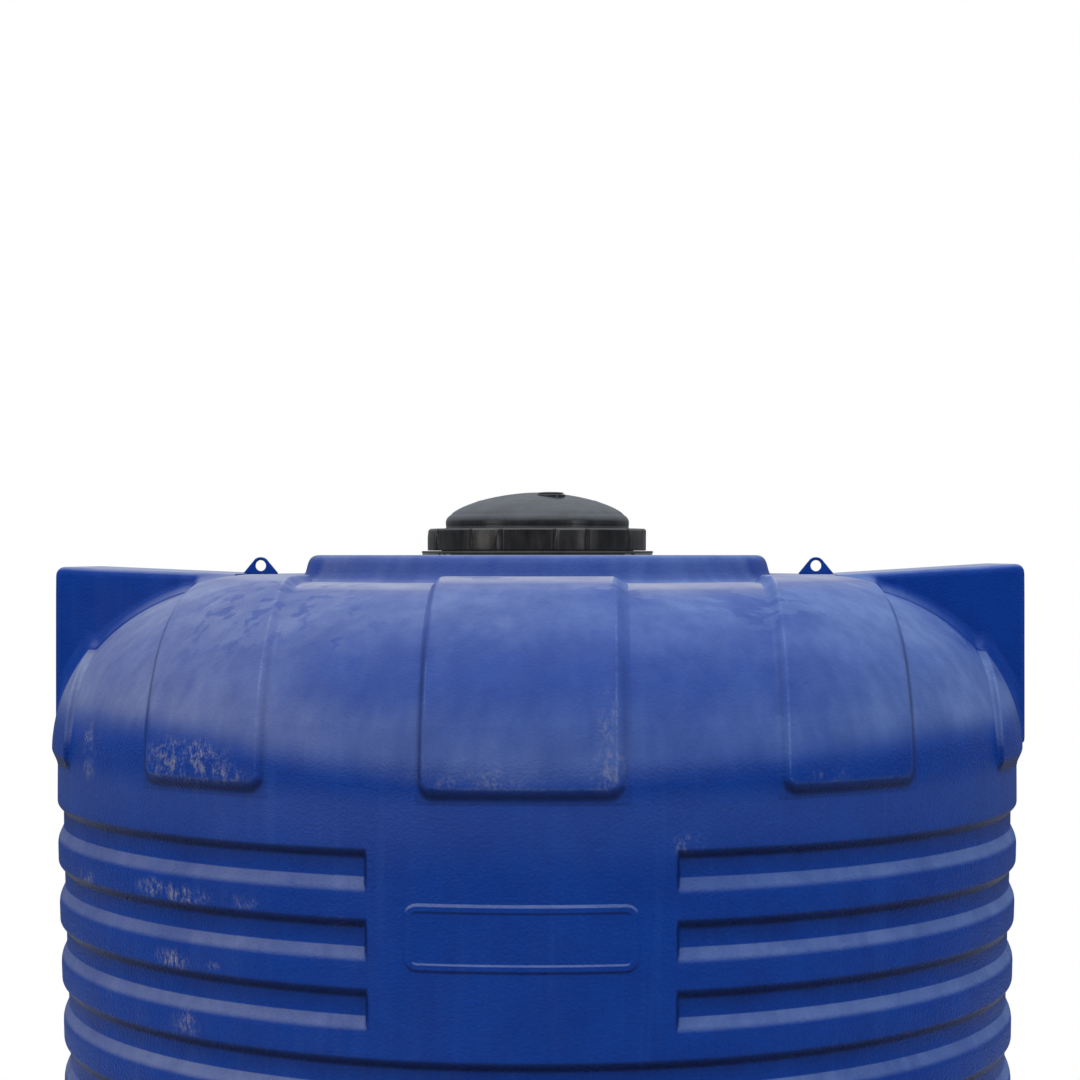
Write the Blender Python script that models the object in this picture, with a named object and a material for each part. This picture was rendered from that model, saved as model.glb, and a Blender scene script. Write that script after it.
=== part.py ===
"""Vertical rotomoulded polyethylene storage tank, 15 m3 class.

A ribbed round body with a domed shoulder, strap belts over the shoulder, two
square shoulder blocks, two lifting lugs, a screwed manway lid with breather,
and a ball-valve outlet at the foot.  Metres, +Z up, origin at the centre of
the flat base, the blank rating plate and the outlet face -Y.
"""
import math

import bmesh
import bpy
from mathutils import Matrix, Vector

# ---------------------------------------------------------------- dimensions
R = 1.200                 # radius over the shoulder belts
H_TOP = 3.640             # top of the round turret, above the ground
WALL = 0.012              # moulded wall
GAP = 0.0003              # clearance between touching pieces
SIDES = 32                # facets round the shell

# shoulder, as fractions of R; heights are depths below the turret top
DECK_D = 0.054 * R        # flat deck
BELT_TOP_D = 0.0405 * R   # top of the belts on the deck
DOME_R0 = 0.596 * R       # where the deck turns into the dome
DOME_D1 = 0.394 * R       # where the dome turns into the wall
R_BAND = 0.989 * R        # plain band under the dome
TURRET_R = 0.474 * R
TURRET_FOOT = 0.490 * R
BELT_FOOT_D = 0.420 * R
BELTS = ((-0.180, 0.180), (0.460, 0.690), (-0.690, -0.460), (0.900, 1.050), (-1.050, -0.900))

# shoulder blocks
BLOCK_X = 0.9827 * R
BLOCK_Y = 0.180 * R
BLOCK_TOP_OUT = 0.0234 * R
BLOCK_TOP_IN = 0.0382 * R

# horizontal grooves
N_GROOVES = 20
GROOVE_D0 = 0.498 * R
PITCH = 0.1187 * R
G_WALL = 0.0134 * R
G_FLOOR = 0.033 * R
G_SLOPE = 0.025 * R
G_DEPTH = 0.012 * R
N_SHORT = 3               # grooves that stop either side of the plate
FRONT_HALF = math.radians(15.3)

# blank plate
PLATE_HALF = math.radians(11.65)
PLATE_D = (0.585 * R, 0.702 * R)
PLATE_UP = 0.005

# manway
HOLE_R = 0.222
NECK_BORE = 0.2115
NECK_R = 0.2420
FLANGE_R = 0.2918
RING_R = 0.2798
BAY_R = 0.2752
DOME_R = 0.2312
N_SCREWS = 8
SCREW_PCR = 0.2610

# lifting lugs
LUG_X = 0.5845 * R
LUG_W = 0.086
LUG_H = 0.043
LUG_T = 0.014
LUG_HOLE = 0.0148

# outlet
OUT_Z = 0.150             # height of the outlet axis
BOSS_FACE = 1.182         # distance of the flat boss from the tank's axis
BALL_Y = 1.279            # ball centre from the tank's axis

BLUE = (0.020, 0.070, 0.330)
BLACK = (0.018, 0.018, 0.019)


# ------------------------------------------------------------------- helpers
def clear_scene():
    for ob in list(bpy.data.objects):
        bpy.data.objects.remove(ob)


def material(name, colour, rough, metal=0.0):
    mat = bpy.data.materials.new(name)
    mat.use_nodes = True
    p = mat.node_tree.nodes["Principled BSDF"]
    p.inputs["Base Color"].default_value = (*colour, 1.0)
    p.inputs["Roughness"].default_value = rough
    p.inputs["Metallic"].default_value = metal
    return mat


def finish(name, bm, mat, loc=(0, 0, 0), rot=(0, 0, 0), smooth=30, cutter=False):
    bmesh.ops.recalc_face_normals(bm, faces=bm.faces)
    mesh = bpy.data.meshes.new(name)
    bm.to_mesh(mesh)
    bm.free()
    mesh.shade_smooth()
    mesh.set_sharp_from_angle(angle=math.radians(smooth))
    if mat:
        mesh.materials.append(mat)
    ob = bpy.data.objects.new(name, mesh)
    bpy.context.scene.collection.objects.link(ob)
    ob.location = loc
    ob.rotation_euler = rot
    if cutter:
        ob.hide_render = True
        ob.display_type = "WIRE"
    return ob


def turned(profile, n, phase=0.0):
    """Closed solid of revolution about Z. profile is a closed outline of (r, z); points with r = 0 lie on the axis."""
    bm = bmesh.new()
    rings = []
    for r, z in profile:
        if r < 1e-9:
            rings.append([bm.verts.new((0, 0, z))])
        else:
            rings.append([bm.verts.new((r * math.cos(a), r * math.sin(a), z)) for a in (phase + 2 * math.pi * i / n for i in range(n))])
    m = len(rings)
    for k in range(m):
        a, b = rings[k], rings[(k + 1) % m]
        if len(a) == 1 and len(b) == 1:
            continue
        for i in range(n):
            j = (i + 1) % n
            if len(a) == 1:
                bm.faces.new((a[0], b[i], b[j]))
            elif len(b) == 1:
                bm.faces.new((a[i], b[0], a[j]))
            else:
                bm.faces.new((a[i], b[i], b[j], a[j]))
    return bm


def tube(r_in, r_out, z0, z1, n):
    return turned([(r_in, z0), (r_out, z0), (r_out, z1), (r_in, z1)], n)


def prism(outline, z0, z1):
    """Straight solid over a closed outline of (x, y)."""
    bm = bmesh.new()
    low = [bm.verts.new((x, y, z0)) for x, y in outline]
    high = [bm.verts.new((x, y, z1)) for x, y in outline]
    n = len(outline)
    bm.faces.new(low[::-1])
    bm.faces.new(high)
    for i in range(n):
        bm.faces.new((low[i], low[(i + 1) % n], high[(i + 1) % n], high[i]))
    return bm


def hex_nut(bore, half_flats, z0, z1, m=24):
    """Six-sided nut with a round bore."""
    bm = bmesh.new()
    outer, inner = [], []
    for h in (z0, z1):
        row_o, row_i = [], []
        for i in range(m):
            a = 2 * math.pi * i / m
            sixth = (a + math.pi / 6) % (math.pi / 3) - math.pi / 6
            r = half_flats / math.cos(sixth)
            row_o.append(bm.verts.new((r * math.cos(a), r * math.sin(a), h)))
            row_i.append(bm.verts.new((bore * math.cos(a), bore * math.sin(a), h)))
        outer.append(row_o)
        inner.append(row_i)
    for i in range(m):
        j = (i + 1) % m
        bm.faces.new((outer[0][i], outer[0][j], outer[1][j], outer[1][i]))
        bm.faces.new((inner[0][i], inner[1][i], inner[1][j], inner[0][j]))
        bm.faces.new((outer[1][i], outer[1][j], inner[1][j], inner[1][i]))
        bm.faces.new((outer[0][i], inner[0][i], inner[0][j], outer[0][j]))
    return bm


def box_into(bm, lo, hi):
    made = bmesh.ops.create_cube(bm, size=1.0)["verts"]
    lo, hi = Vector(lo), Vector(hi)
    for v in made:
        v.co = Vector([lo[i] + (v.co[i] + 0.5) * (hi[i] - lo[i]) for i in range(3)])


def combine(ob, other, how):
    mod = ob.modifiers.new(how.lower() + "_" + other.name, "BOOLEAN")
    mod.operation = how
    mod.solver = "EXACT"
    mod.object = other
    return mod


def circle(r, n, phase=0.0, cx=0.0, cy=0.0):
    return [(cx + r * math.cos(phase + 2 * math.pi * i / n), cy + r * math.sin(phase + 2 * math.pi * i / n)) for i in range(n)]


def smoothstep(t):
    t = min(max(t, 0.0), 1.0)
    return t * t * (3 - 2 * t)


def body_radius(depth):
    """Wall radius at a depth below the turret top: the moulding tapers slightly under the band."""
    return R * (0.989 - 0.014 * smoothstep((depth / R - 0.45) / 0.60))


def arc(centre_r, centre_z, a, b, n):
    """Quarter ellipse from the top round to the side."""
    return [(centre_r + a * math.sin(t), centre_z + b * math.cos(t)) for t in (math.pi / 2 * i / n for i in range(n + 1))]


# ---------------------------------------------------------------- tank shell
def shell_profile():
    pts = [(0, H_TOP), (TURRET_R - 0.010, H_TOP), (TURRET_R, H_TOP - 0.010), (TURRET_FOOT - 0.006, H_TOP - DECK_D + 0.014), (TURRET_FOOT + 0.010, H_TOP - DECK_D)]
    pts += arc(DOME_R0, H_TOP - DOME_D1, R_BAND - DOME_R0, DOME_D1 - DECK_D, 9)
    for k in range(N_GROOVES):
        d = GROOVE_D0 + PITCH * k
        for step, deep in ((0, 0), (G_WALL, G_DEPTH), (G_WALL + G_FLOOR, G_DEPTH), (G_WALL + G_FLOOR + G_SLOPE, 0)):
            pts.append((body_radius(d + step) - deep, H_TOP - d - step))
    foot = body_radius(H_TOP)
    pts += [(foot, 0.060), (foot - 0.016, 0.016), (foot - 0.056, 0.0), (0, 0.0)]
    return pts


def cavity_profile():
    r_in = body_radius(H_TOP) - G_DEPTH - 0.010
    pts = [(0, H_TOP + 0.05), (HOLE_R, H_TOP + 0.05), (HOLE_R, H_TOP - WALL), (TURRET_R - WALL, H_TOP - WALL), (TURRET_FOOT - WALL, H_TOP - DECK_D - WALL)]
    pts += arc(DOME_R0, H_TOP - DOME_D1, r_in - DOME_R0, DOME_D1 - DECK_D - WALL, 7)
    pts += [(r_in, 0.070), (r_in - 0.05, 0.014), (0, 0.014)]
    return pts


def sector(r_in, r_out_at, half, d0, d1, rows, cols):
    """Curved block on the front of the wall, r_out_at(depth) outside, between two depths."""
    bm = bmesh.new()
    grid = []
    for i in range(rows + 1):
        d = d0 + (d1 - d0) * i / rows
        row = []
        for j in range(cols + 1):
            a = -half + 2 * half * j / cols
            pair = [bm.verts.new((r * math.sin(a), -r * math.cos(a), H_TOP - d)) for r in (r_in, r_out_at(d))]
            row.append(pair)
        grid.append(row)
    for i in range(rows):
        for j in range(cols):
            a, b, c, d_ = grid[i][j], grid[i][j + 1], grid[i + 1][j + 1], grid[i + 1][j]
            bm.faces.new((a[1], b[1], c[1], d_[1]))
            bm.faces.new((a[0], d_[0], c[0], b[0]))
    for i in range(rows):
        for j, flip in ((0, False), (cols, True)):
            bm.faces.new((grid[i][j][0], grid[i][j][1], grid[i + 1][j][1], grid[i + 1][j][0]))
    for j in range(cols):
        for i in (0, rows):
            bm.faces.new((grid[i][j][0], grid[i][j][1], grid[i][j + 1][1], grid[i][j + 1][0]))
    return bm


def shoulder_block(side):
    """Square block from the dome out to BLOCK_X, with its outer and top edges rounded."""
    bm = bmesh.new()
    x0, x1 = 0.632 * R, BLOCK_X
    z0 = H_TOP - 0.400 * R
    corners = []
    for x, zt in ((x0, H_TOP - BLOCK_TOP_IN), (x1, H_TOP - BLOCK_TOP_OUT)):
        for y in (-BLOCK_Y, BLOCK_Y):
            corners.append((bm.verts.new((side * x, y, z0)), bm.verts.new((side * x, y, zt))))
    (a, b, c, d) = corners
    bm.faces.new((a[0], b[0], d[0], c[0]))
    bm.faces.new((a[1], c[1], d[1], b[1]))
    bm.faces.new((a[0], c[0], c[1], a[1]))
    bm.faces.new((b[0], b[1], d[1], d[0]))
    bm.faces.new((c[0], d[0], d[1], c[1]))
    bm.faces.new((a[0], a[1], b[1], b[0]))
    bm.edges.ensure_lookup_table()
    top = [e for e in bm.edges if all(v in (a[1], b[1], c[1], d[1]) for v in e.verts) and not all(v in (a[1], b[1]) for v in e.verts)]
    side_edges = [e for e in bm.edges if set(e.verts) in ({c[0], c[1]}, {d[0], d[1]})]
    bmesh.ops.recalc_face_normals(bm, faces=bm.faces)
    bmesh.ops.bevel(bm, geom=top + side_edges, offset=0.030, segments=3, profile=0.5, affect="EDGES", clamp_overlap=True)
    return bm


def make_shell(blue):
    shell = finish("tank_shell", turned(shell_profile(), SIDES), blue, smooth=35)
    fill = finish("guide_front_fill", sector(0.93 * R, lambda d: body_radius(d) - 0.0004, FRONT_HALF, 0.484 * R, 0.8150 * R, 6, 6), None, cutter=True)
    stock_pts = [(0, H_TOP - BELT_TOP_D)] + arc(DOME_R0, H_TOP - DOME_D1, R - DOME_R0, DOME_D1 - BELT_TOP_D, 9)
    stock_pts += [(0.9835 * R, H_TOP - BELT_FOOT_D), (0, H_TOP - BELT_FOOT_D)]
    stock = finish("guide_belt_stock", turned(stock_pts, SIDES, math.radians(0.4)), None, cutter=True)
    bars = bmesh.new()
    for x0, x1 in BELTS:
        box_into(bars, (x0 * R, -1.3 * R, H_TOP - 0.5 * R), (x1 * R, 1.3 * R, H_TOP - 0.02 * R))
    bars = finish("guide_belt_bars", bars, None, cutter=True)
    combine(stock, bars, "INTERSECT")
    plate = finish("guide_plate", sector(0.95 * R, lambda d: body_radius(d) + PLATE_UP, PLATE_HALF, PLATE_D[0], PLATE_D[1], 2, 6), None, cutter=True)
    boss = bmesh.new()
    box_into(boss, (-0.115, -BOSS_FACE, 0.062), (0.115, -1.10, 0.238))
    bmesh.ops.recalc_face_normals(boss, faces=boss.faces)
    front_edges = [e for e in boss.edges if all(v.co.y < -BOSS_FACE + 1e-6 for v in e.verts)]
    bmesh.ops.bevel(boss, geom=front_edges, offset=0.006, segments=1, affect="EDGES")
    boss = finish("guide_boss", boss, None, cutter=True)
    cavity = finish("guide_cavity", turned(cavity_profile(), SIDES, math.radians(2.0)), None, cutter=True)
    bore = finish("guide_outlet_bore", turned([(0, 1.0), (0.0345, 1.0), (0.0345, 1.3), (0, 1.3)], 24), None, (0, 0, OUT_Z), (math.radians(90), 0, 0), cutter=True)
    holes = bmesh.new()
    for k in range(N_SCREWS):
        a = math.radians(22.5) + 2 * math.pi * k / N_SCREWS
        made = prism(circle(0.0036, 8, 0, SCREW_PCR * math.cos(a), SCREW_PCR * math.sin(a)), H_TOP - 0.03, H_TOP + 0.02)
        tmp = bpy.data.meshes.new("tmp")
        made.to_mesh(tmp)
        made.free()
        holes.from_mesh(tmp)
        bpy.data.meshes.remove(tmp)
    holes = finish("guide_screw_holes", holes, None, cutter=True)
    combine(shell, fill, "UNION")
    combine(shell, stock, "UNION")
    for side, word in ((-1, "left"), (1, "right")):
        combine(shell, finish("guide_block_" + word, shoulder_block(side), None, cutter=True), "UNION")
    combine(shell, plate, "UNION")
    combine(shell, boss, "UNION")
    combine(shell, cavity, "DIFFERENCE")
    combine(shell, bore, "DIFFERENCE")
    combine(shell, holes, "DIFFERENCE")
    return shell


# -------------------------------------------------------------- lifting lugs
def make_lug(name, side, blue):
    """Upright plate with a rounded head and one eye, standing on a belt."""
    head = 0.0185
    cz = LUG_H - head
    half = LUG_W / 2
    d = math.hypot(half, cz)
    outline = [(-half, 0.0), (half, 0.0)]
    n = 12
    # tangent points from the base corners to the head circle
    phi = math.atan2(-cz, half)
    t0 = phi + math.acos(head / d)
    t1 = math.pi - t0
    outline += [(head * math.cos(t0 + (t1 - t0) * i / n), cz + head * math.sin(t0 + (t1 - t0) * i / n)) for i in range(n + 1)]
    bm = bmesh.new()
    m = 20
    eye = circle(LUG_HOLE, m, 0, 0, cz)
    front, back = [], []
    for y, store in ((-LUG_T / 2, front), (LUG_T / 2, back)):
        store.append([bm.verts.new((x, y, z)) for x, z in outline])
        store.append([bm.verts.new((x, y, z)) for x, z in eye])
    for store in (front, back):
        edges = []
        for loop in store:
            for i in range(len(loop)):
                edges.append(bm.edges.new((loop[i], loop[(i + 1) % len(loop)])))
        bmesh.ops.triangle_fill(bm, use_beauty=True, use_dissolve=False, edges=edges)
    for k in (0, 1):
        n_ = len(front[k])
        for i in range(n_):
            j = (i + 1) % n_
            bm.faces.new((front[k][i], front[k][j], back[k][j], back[k][i]))
    return finish(name, bm, blue, (side * LUG_X, 0, H_TOP - BELT_TOP_D + GAP))


# -------------------------------------------------------------------- manway
def make_manway(black, rubber, steel):
    z = H_TOP
    finish("manway_gasket", tube(0.2230, 0.2900, z + GAP, z + 0.0033, 28), rubber)
    collar = finish("manway_collar", turned([
        (NECK_BORE, z - 0.030), (0.2195, z - 0.030), (0.2195, z + 0.0036), (FLANGE_R - 0.0015, z + 0.0036), (FLANGE_R, z + 0.0050),
        (FLANGE_R - 0.001, z + 0.0100), (NECK_R, z + 0.0100), (NECK_R, z + 0.0482), (NECK_R - 0.002, z + 0.0502), (NECK_BORE, z + 0.0502)], 28), black)
    gasket = bpy.data.objects["manway_gasket"]
    cut = bmesh.new()
    for k in range(N_SCREWS):
        a = math.radians(22.5) + 2 * math.pi * k / N_SCREWS
        c = (SCREW_PCR * math.cos(a), SCREW_PCR * math.sin(a))
        one = turned([(0, z - 0.01), (0.0038, z - 0.01), (0.0038, z + 0.0052), (0.0083, z + 0.0098), (0.0083, z + 0.012), (0, z + 0.012)], 8)
        bmesh.ops.translate(one, verts=one.verts, vec=(c[0], c[1], 0))
        tmp = bpy.data.meshes.new("tmp")
        bmesh.ops.recalc_face_normals(one, faces=one.faces)
        one.to_mesh(tmp)
        one.free()
        cut.from_mesh(tmp)
        bpy.data.meshes.remove(tmp)
    cut = finish("guide_csk", cut, None, cutter=True)
    combine(collar, cut, "DIFFERENCE")
    combine(gasket, cut, "DIFFERENCE")
    for k in range(N_SCREWS):
        a = math.radians(22.5) + 2 * math.pi * k / N_SCREWS
        bm = turned([(0, -0.0240), (0.0020, -0.0240), (0.0032, -0.0210), (0.0032, 0.0053), (0.0078, 0.0097), (0.0035, 0.0097), (0.0030, 0.0070), (0, 0.0070)], 8)
        finish("manway_screw_%02d" % (k + 1), bm, steel, (SCREW_PCR * math.cos(a), SCREW_PCR * math.sin(a), z))


def lid_height(r):
    """Outer surface of the lid dome above the turret top."""
    t = min(r / DOME_R, 1.0)
    return 0.0834 + 0.0745 * (1 - t ** 1.75) ** (1 / 1.75)


def make_lid(black, rubber):
    z = H_TOP
    n = 28
    # screw ring with eight grip lobes
    count = 56
    bm = bmesh.new()
    levels = [("in", 0.2470, 0.0112), ("out", -0.0015, 0.0112), ("out", 0.0, 0.0130), ("out", 0.0, 0.0615), ("out", -0.0042, 0.0657), ("in", 0.2318, 0.0657), ("in", 0.2318, 0.0600), ("in", 0.2470, 0.0600)]
    rings = []
    for kind, value, h in levels:
        ring = []
        for i in range(count):
            a = 2 * math.pi * i / count
            if kind == "in":
                r = value
            else:
                # angle from the nearest lobe centre; lobes are 15 degrees wide
                off = (math.degrees(a) + 26.0 + 90.0 + 22.5) % 45.0 - 22.5
                r = BAY_R + (RING_R - BAY_R) * (1 - smoothstep((abs(off) - 6.0) / 3.0)) + value
            ring.append(bm.verts.new((r * math.cos(a), r * math.sin(a), h)))
        rings.append(ring)
    for k in range(len(rings)):
        a, b = rings[k], rings[(k + 1) % len(rings)]
        for i in range(count):
            j = (i + 1) % count
            bm.faces.new((a[i], a[j], b[j], b[i]))
    finish("lid_ring", bm, black, (0, 0, z))
    # seal on the neck's rim
    finish("lid_seal", tube(0.2135, 0.2410, 0.0505, 0.0542, n), rubber, (0, 0, z))
    # dome: outside, then round the flange, then inside
    out = [(0, lid_height(0))] + [(DOME_R * math.sin(math.pi / 2 * i / 6), 0) for i in range(1, 7)]
    out = [(r, lid_height(r)) for r, _ in out]
    pts = out + [(DOME_R, 0.0600), (0.2440, 0.0597), (0.2440, 0.0545), (DOME_R - 0.005, 0.0545)]
    inner = [((DOME_R - 0.005) * math.sin(math.pi / 2 * i / 4), 0) for i in range(4, 0, -1)]
    pts += [(r, lid_height(r * DOME_R / (DOME_R - 0.005)) - 0.005) for r, _ in inner] + [(0, lid_height(0) - 0.005)]
    dome = finish("lid_dome", turned(pts, n), black, (0, 0, z))
    # breather
    vx, vy = VENT
    vz = lid_height(math.hypot(vx, vy))
    boss = finish("guide_vent_boss", turned([(0, vz - 0.014), (0.0345, vz - 0.014), (0.0360, vz - 0.012), (0.0360, vz + 0.0002), (0.0350, vz + 0.0012), (0, vz + 0.0012)], 20), None, (vx, vy, z), cutter=True)
    combine(dome, boss, "UNION")
    seat = finish("guide_vent_seat", turned([(0, vz + 0.0012), (0.0335, vz + 0.0012), (0.0335, vz + 0.03), (0, vz + 0.03)], 20), None, (vx, vy, z), cutter=True)
    combine(dome, seat, "DIFFERENCE")
    vent_bore = finish("guide_vent_bore", turned([(0, vz - 0.04), (0.0123, vz - 0.04), (0.0126, vz + 0.02), (0, vz + 0.02)], 16), None, (vx, vy, z), cutter=True)
    combine(dome, vent_bore, "DIFFERENCE")
    top = vz + 0.0012
    finish("vent_body", turned([(0.0085, top - 0.040), (0.0105, top - 0.040), (0.0120, top - 0.038), (0.0120, top + GAP), (0.0200, top + GAP), (0.0200, top + 0.0018), (0.0110, top + 0.0018), (0.0110, top + 0.0045), (0.0085, top + 0.0045)], 16), black, (vx, vy, z))
    finish("vent_nut", hex_nut(0.0127, 0.0190, top - 0.0230, top - 0.0156), black, (vx, vy, z))
    finish("vent_screen", turned([(0.0022, top - 0.0435), (0.0115, top - 0.0435), (0.0115, top - 0.0403), (0.0022, top - 0.0403)], 16), steel_mat, (vx, vy, z))
    finish("vent_cap", turned([(0, top + 0.0050), (0.0225, top + 0.0050), (0.0290, top + 0.0022), (0.0320, top + 0.0020), (0.0322, top + 0.0050), (0.0290, top + 0.0078), (0.0180, top + 0.0092), (0, top + 0.0096)], 20), black, (vx, vy, z))


VENT = (0.036, -0.078)


# -------------------------------------------------------------------- outlet
def make_outlet(black, grey, rubber, steel, ptfe, red):
    lie = (math.radians(90), 0, 0)   # local +Z points out of the tank, along -Y
    at = (0, 0, OUT_Z)
    n = 20
    face = BOSS_FACE
    finish("outlet_gasket", tube(0.0348, 0.0600, face + GAP, face + 0.0033, n), rubber, at, lie)
    finish("bulkhead_fitting", turned([(0.0260, 1.095), (0.0325, 1.095), (0.0330, 1.097), (0.0330, face + 0.0036), (0.0610, face + 0.0036), (0.0620, face + 0.0050), (0.0620, face + 0.0130), (0.0600, face + 0.0150), (0.0330, face + 0.0150), (0.0330, 1.2295), (0.0260, 1.2295)], n), grey, at, lie)
    nut = hex_nut(0.0334, 0.0460, 1.118, 1.1393)
    finish("bulkhead_nut", nut, grey, at, lie)
    # valve body: socket, ball chamber open at the outlet end, neck for the stem
    body = finish("valve_body", turned([(0.0334, 1.2000), (0.0450, 1.2000), (0.0460, 1.2010), (0.0460, 1.2200), (0.0430, 1.2240), (0.0430, 1.2300), (0.0485, 1.2500), (0.0500, 1.2650), (0.0500, 1.2930), (0.0460, 1.3000), (0.0460, 1.3220), (0.0390, 1.3220), (0.0390, 1.2355), (0.0255, 1.2355), (0.0255, 1.2298), (0.0334, 1.2298)], n), grey, at, lie)
    neck = finish("guide_neck", turned([(0, 0.030), (0.0190, 0.030), (0.0190, 0.0580), (0, 0.0580)], 20), None, (0, -BALL_Y, OUT_Z), cutter=True)
    chamber = finish("guide_chamber", turned([(0, 1.2355), (0.0390, 1.2355), (0.0390, 1.35), (0, 1.35)], n), None, at, lie, cutter=True)
    stem_hole = finish("guide_stem_hole", turned([(0, 0.02), (0.0084, 0.02), (0.0084, 0.07), (0, 0.07)], 16), None, (0, -BALL_Y, OUT_Z), cutter=True)
    combine(body, neck, "UNION")
    combine(body, chamber, "DIFFERENCE")
    combine(body, stem_hole, "DIFFERENCE")
    seat = [(0.0245, -0.0432), (0.0387, -0.0432), (0.0387, -0.0170), (0.0303, -0.0170), (0.0245, -0.0250)]
    finish("valve_seat_inner", turned([(r, BALL_Y + s) for r, s in seat], n), ptfe, at, lie)
    finish("valve_seat_outer", turned([(r, BALL_Y - s - 0.0004) for r, s in seat], n), ptfe, at, lie)
    ball_r = 0.0340
    ball = finish("valve_ball", turned([(0, -ball_r)] + [(ball_r * math.sin(t), -ball_r * math.cos(t)) for t in (math.pi * i / 10 for i in range(1, 10))] + [(0, ball_r)], 16), steel, (0, -BALL_Y, OUT_Z))
    bore = finish("guide_ball_bore", turned([(0, -0.05), (0.0240, -0.05), (0.0240, 0.05), (0, 0.05)], 16), None, (0, -BALL_Y, OUT_Z), (0, math.radians(90), 0), cutter=True)
    slot = bmesh.new()
    box_into(slot, (-0.0095, -0.0034, 0.0278), (0.0095, 0.0034, 0.040))
    slot = finish("guide_ball_slot", slot, None, (0, -BALL_Y, OUT_Z), cutter=True)
    combine(ball, bore, "DIFFERENCE")
    combine(ball, slot, "DIFFERENCE")
    # stem with a tongue in the ball's slot
    stem = finish("valve_stem", turned([(0, 0.0350), (0.0080, 0.0350), (0.0080, 0.0745), (0, 0.0745)], 16), steel, (0, -BALL_Y, OUT_Z))
    tongue = bmesh.new()
    box_into(tongue, (-0.0075, -0.0030, 0.0284), (0.0075, 0.0030, 0.0370))
    tongue = finish("guide_tongue", tongue, None, (0, -BALL_Y, OUT_Z), cutter=True)
    combine(stem, tongue, "UNION")
    finish("stem_gland_nut", tube(0.0085, 0.0160, 0.0583, 0.0640, 6 * 3), grey, (0, -BALL_Y, OUT_Z))
    # lever: a hub and a flat arm that thickens to a grip, lying along +X when shut
    hub_r = 0.0170
    pts = [(hub_r * math.cos(t), hub_r * math.sin(t)) for t in (math.radians(35 + 290 * i / 14) for i in range(15))]
    pts += [(0.045, -0.0085), (0.125, -0.0125), (0.137, -0.0085), (0.141, 0.0), (0.137, 0.0085), (0.125, 0.0125), (0.045, 0.0085)]
    lever = prism(pts, 0.0645, 0.0735)
    bmesh.ops.recalc_face_normals(lever, faces=lever.faces)
    rim = [e for e in lever.edges if abs(e.verts[0].co.z - e.verts[1].co.z) < 1e-6]
    bmesh.ops.bevel(lever, geom=rim, offset=0.0012, segments=1, affect="EDGES")
    lever = finish("valve_handle", lever, red, (0, -BALL_Y, OUT_Z))
    hub_hole = finish("guide_hub_hole", turned([(0, 0.05), (0.0083, 0.05), (0.0083, 0.09), (0, 0.09)], 16), None, (0, -BALL_Y, OUT_Z), cutter=True)
    combine(lever, hub_hole, "DIFFERENCE")
    finish("handle_screw", turned([(0, 0.0748), (0.0120, 0.0748), (0.0125, 0.0760), (0.0110, 0.0800), (0.0040, 0.0800), (0.0036, 0.0780), (0, 0.0780)], 16), steel, (0, -BALL_Y, OUT_Z))
    # end connector and its union nut
    finish("valve_tail", turned([(0.0240, 1.3223), (0.0455, 1.3223), (0.0455, 1.3285), (0.0300, 1.3285), (0.0300, 1.3735), (0.0285, 1.3750), (0.0240, 1.3750)], n), grey, at, lie)
    count = 32
    levels = [(0, 0.0463, 1.3010), (1, -0.0010, 1.3010), (1, 0.0, 1.3030), (1, 0.0, 1.3320), (1, -0.0020, 1.3345), (0, 0.0303, 1.3345), (0, 0.0303, 1.3288), (0, 0.0463, 1.3288)]
    bm = bmesh.new()
    rings = []
    for outside, value, h in levels:
        ring = []
        for i in range(count):
            a = 2 * math.pi * i / count
            r = value if not outside else 0.0540 + 0.0022 * math.cos(8 * a) + value
            ring.append(bm.verts.new((r * math.cos(a), r * math.sin(a), h)))
        rings.append(ring)
    for k in range(len(rings)):
        a, b = rings[k], rings[(k + 1) % len(rings)]
        for i in range(count):
            j = (i + 1) % count
            bm.faces.new((a[i], a[j], b[j], b[i]))
    finish("union_nut", bm, black, at, lie)


# ---------------------------------------------------------------------- main
clear_scene()
blue_mat = material("blue_polyethylene", BLUE, 0.55)
lug_mat = material("lug_polyethylene", (0.015, 0.045, 0.220), 0.55)
black_mat = material("black_polypropylene", BLACK, 0.40)
grey_mat = material("grey_pvc", (0.16, 0.17, 0.18), 0.45)
rubber_mat = material("epdm_rubber", (0.030, 0.030, 0.022), 0.75)
steel_mat = material("stainless_steel", (0.55, 0.55, 0.56), 0.30, 1.0)
ptfe_mat = material("ptfe", (0.80, 0.80, 0.78), 0.50)
red_mat = material("lever_plastic", (0.45, 0.03, 0.02), 0.45)

make_shell(blue_mat)
make_lug("lifting_lug_left", -1, lug_mat)
make_lug("lifting_lug_right", 1, lug_mat)
make_manway(black_mat, rubber_mat, steel_mat)
make_lid(black_mat, rubber_mat)
make_outlet(black_mat, grey_mat, rubber_mat, steel_mat, ptfe_mat, red_mat)
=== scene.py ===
import math

import bmesh
import bpy
import numpy as np
from mathutils import Matrix, Vector


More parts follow.
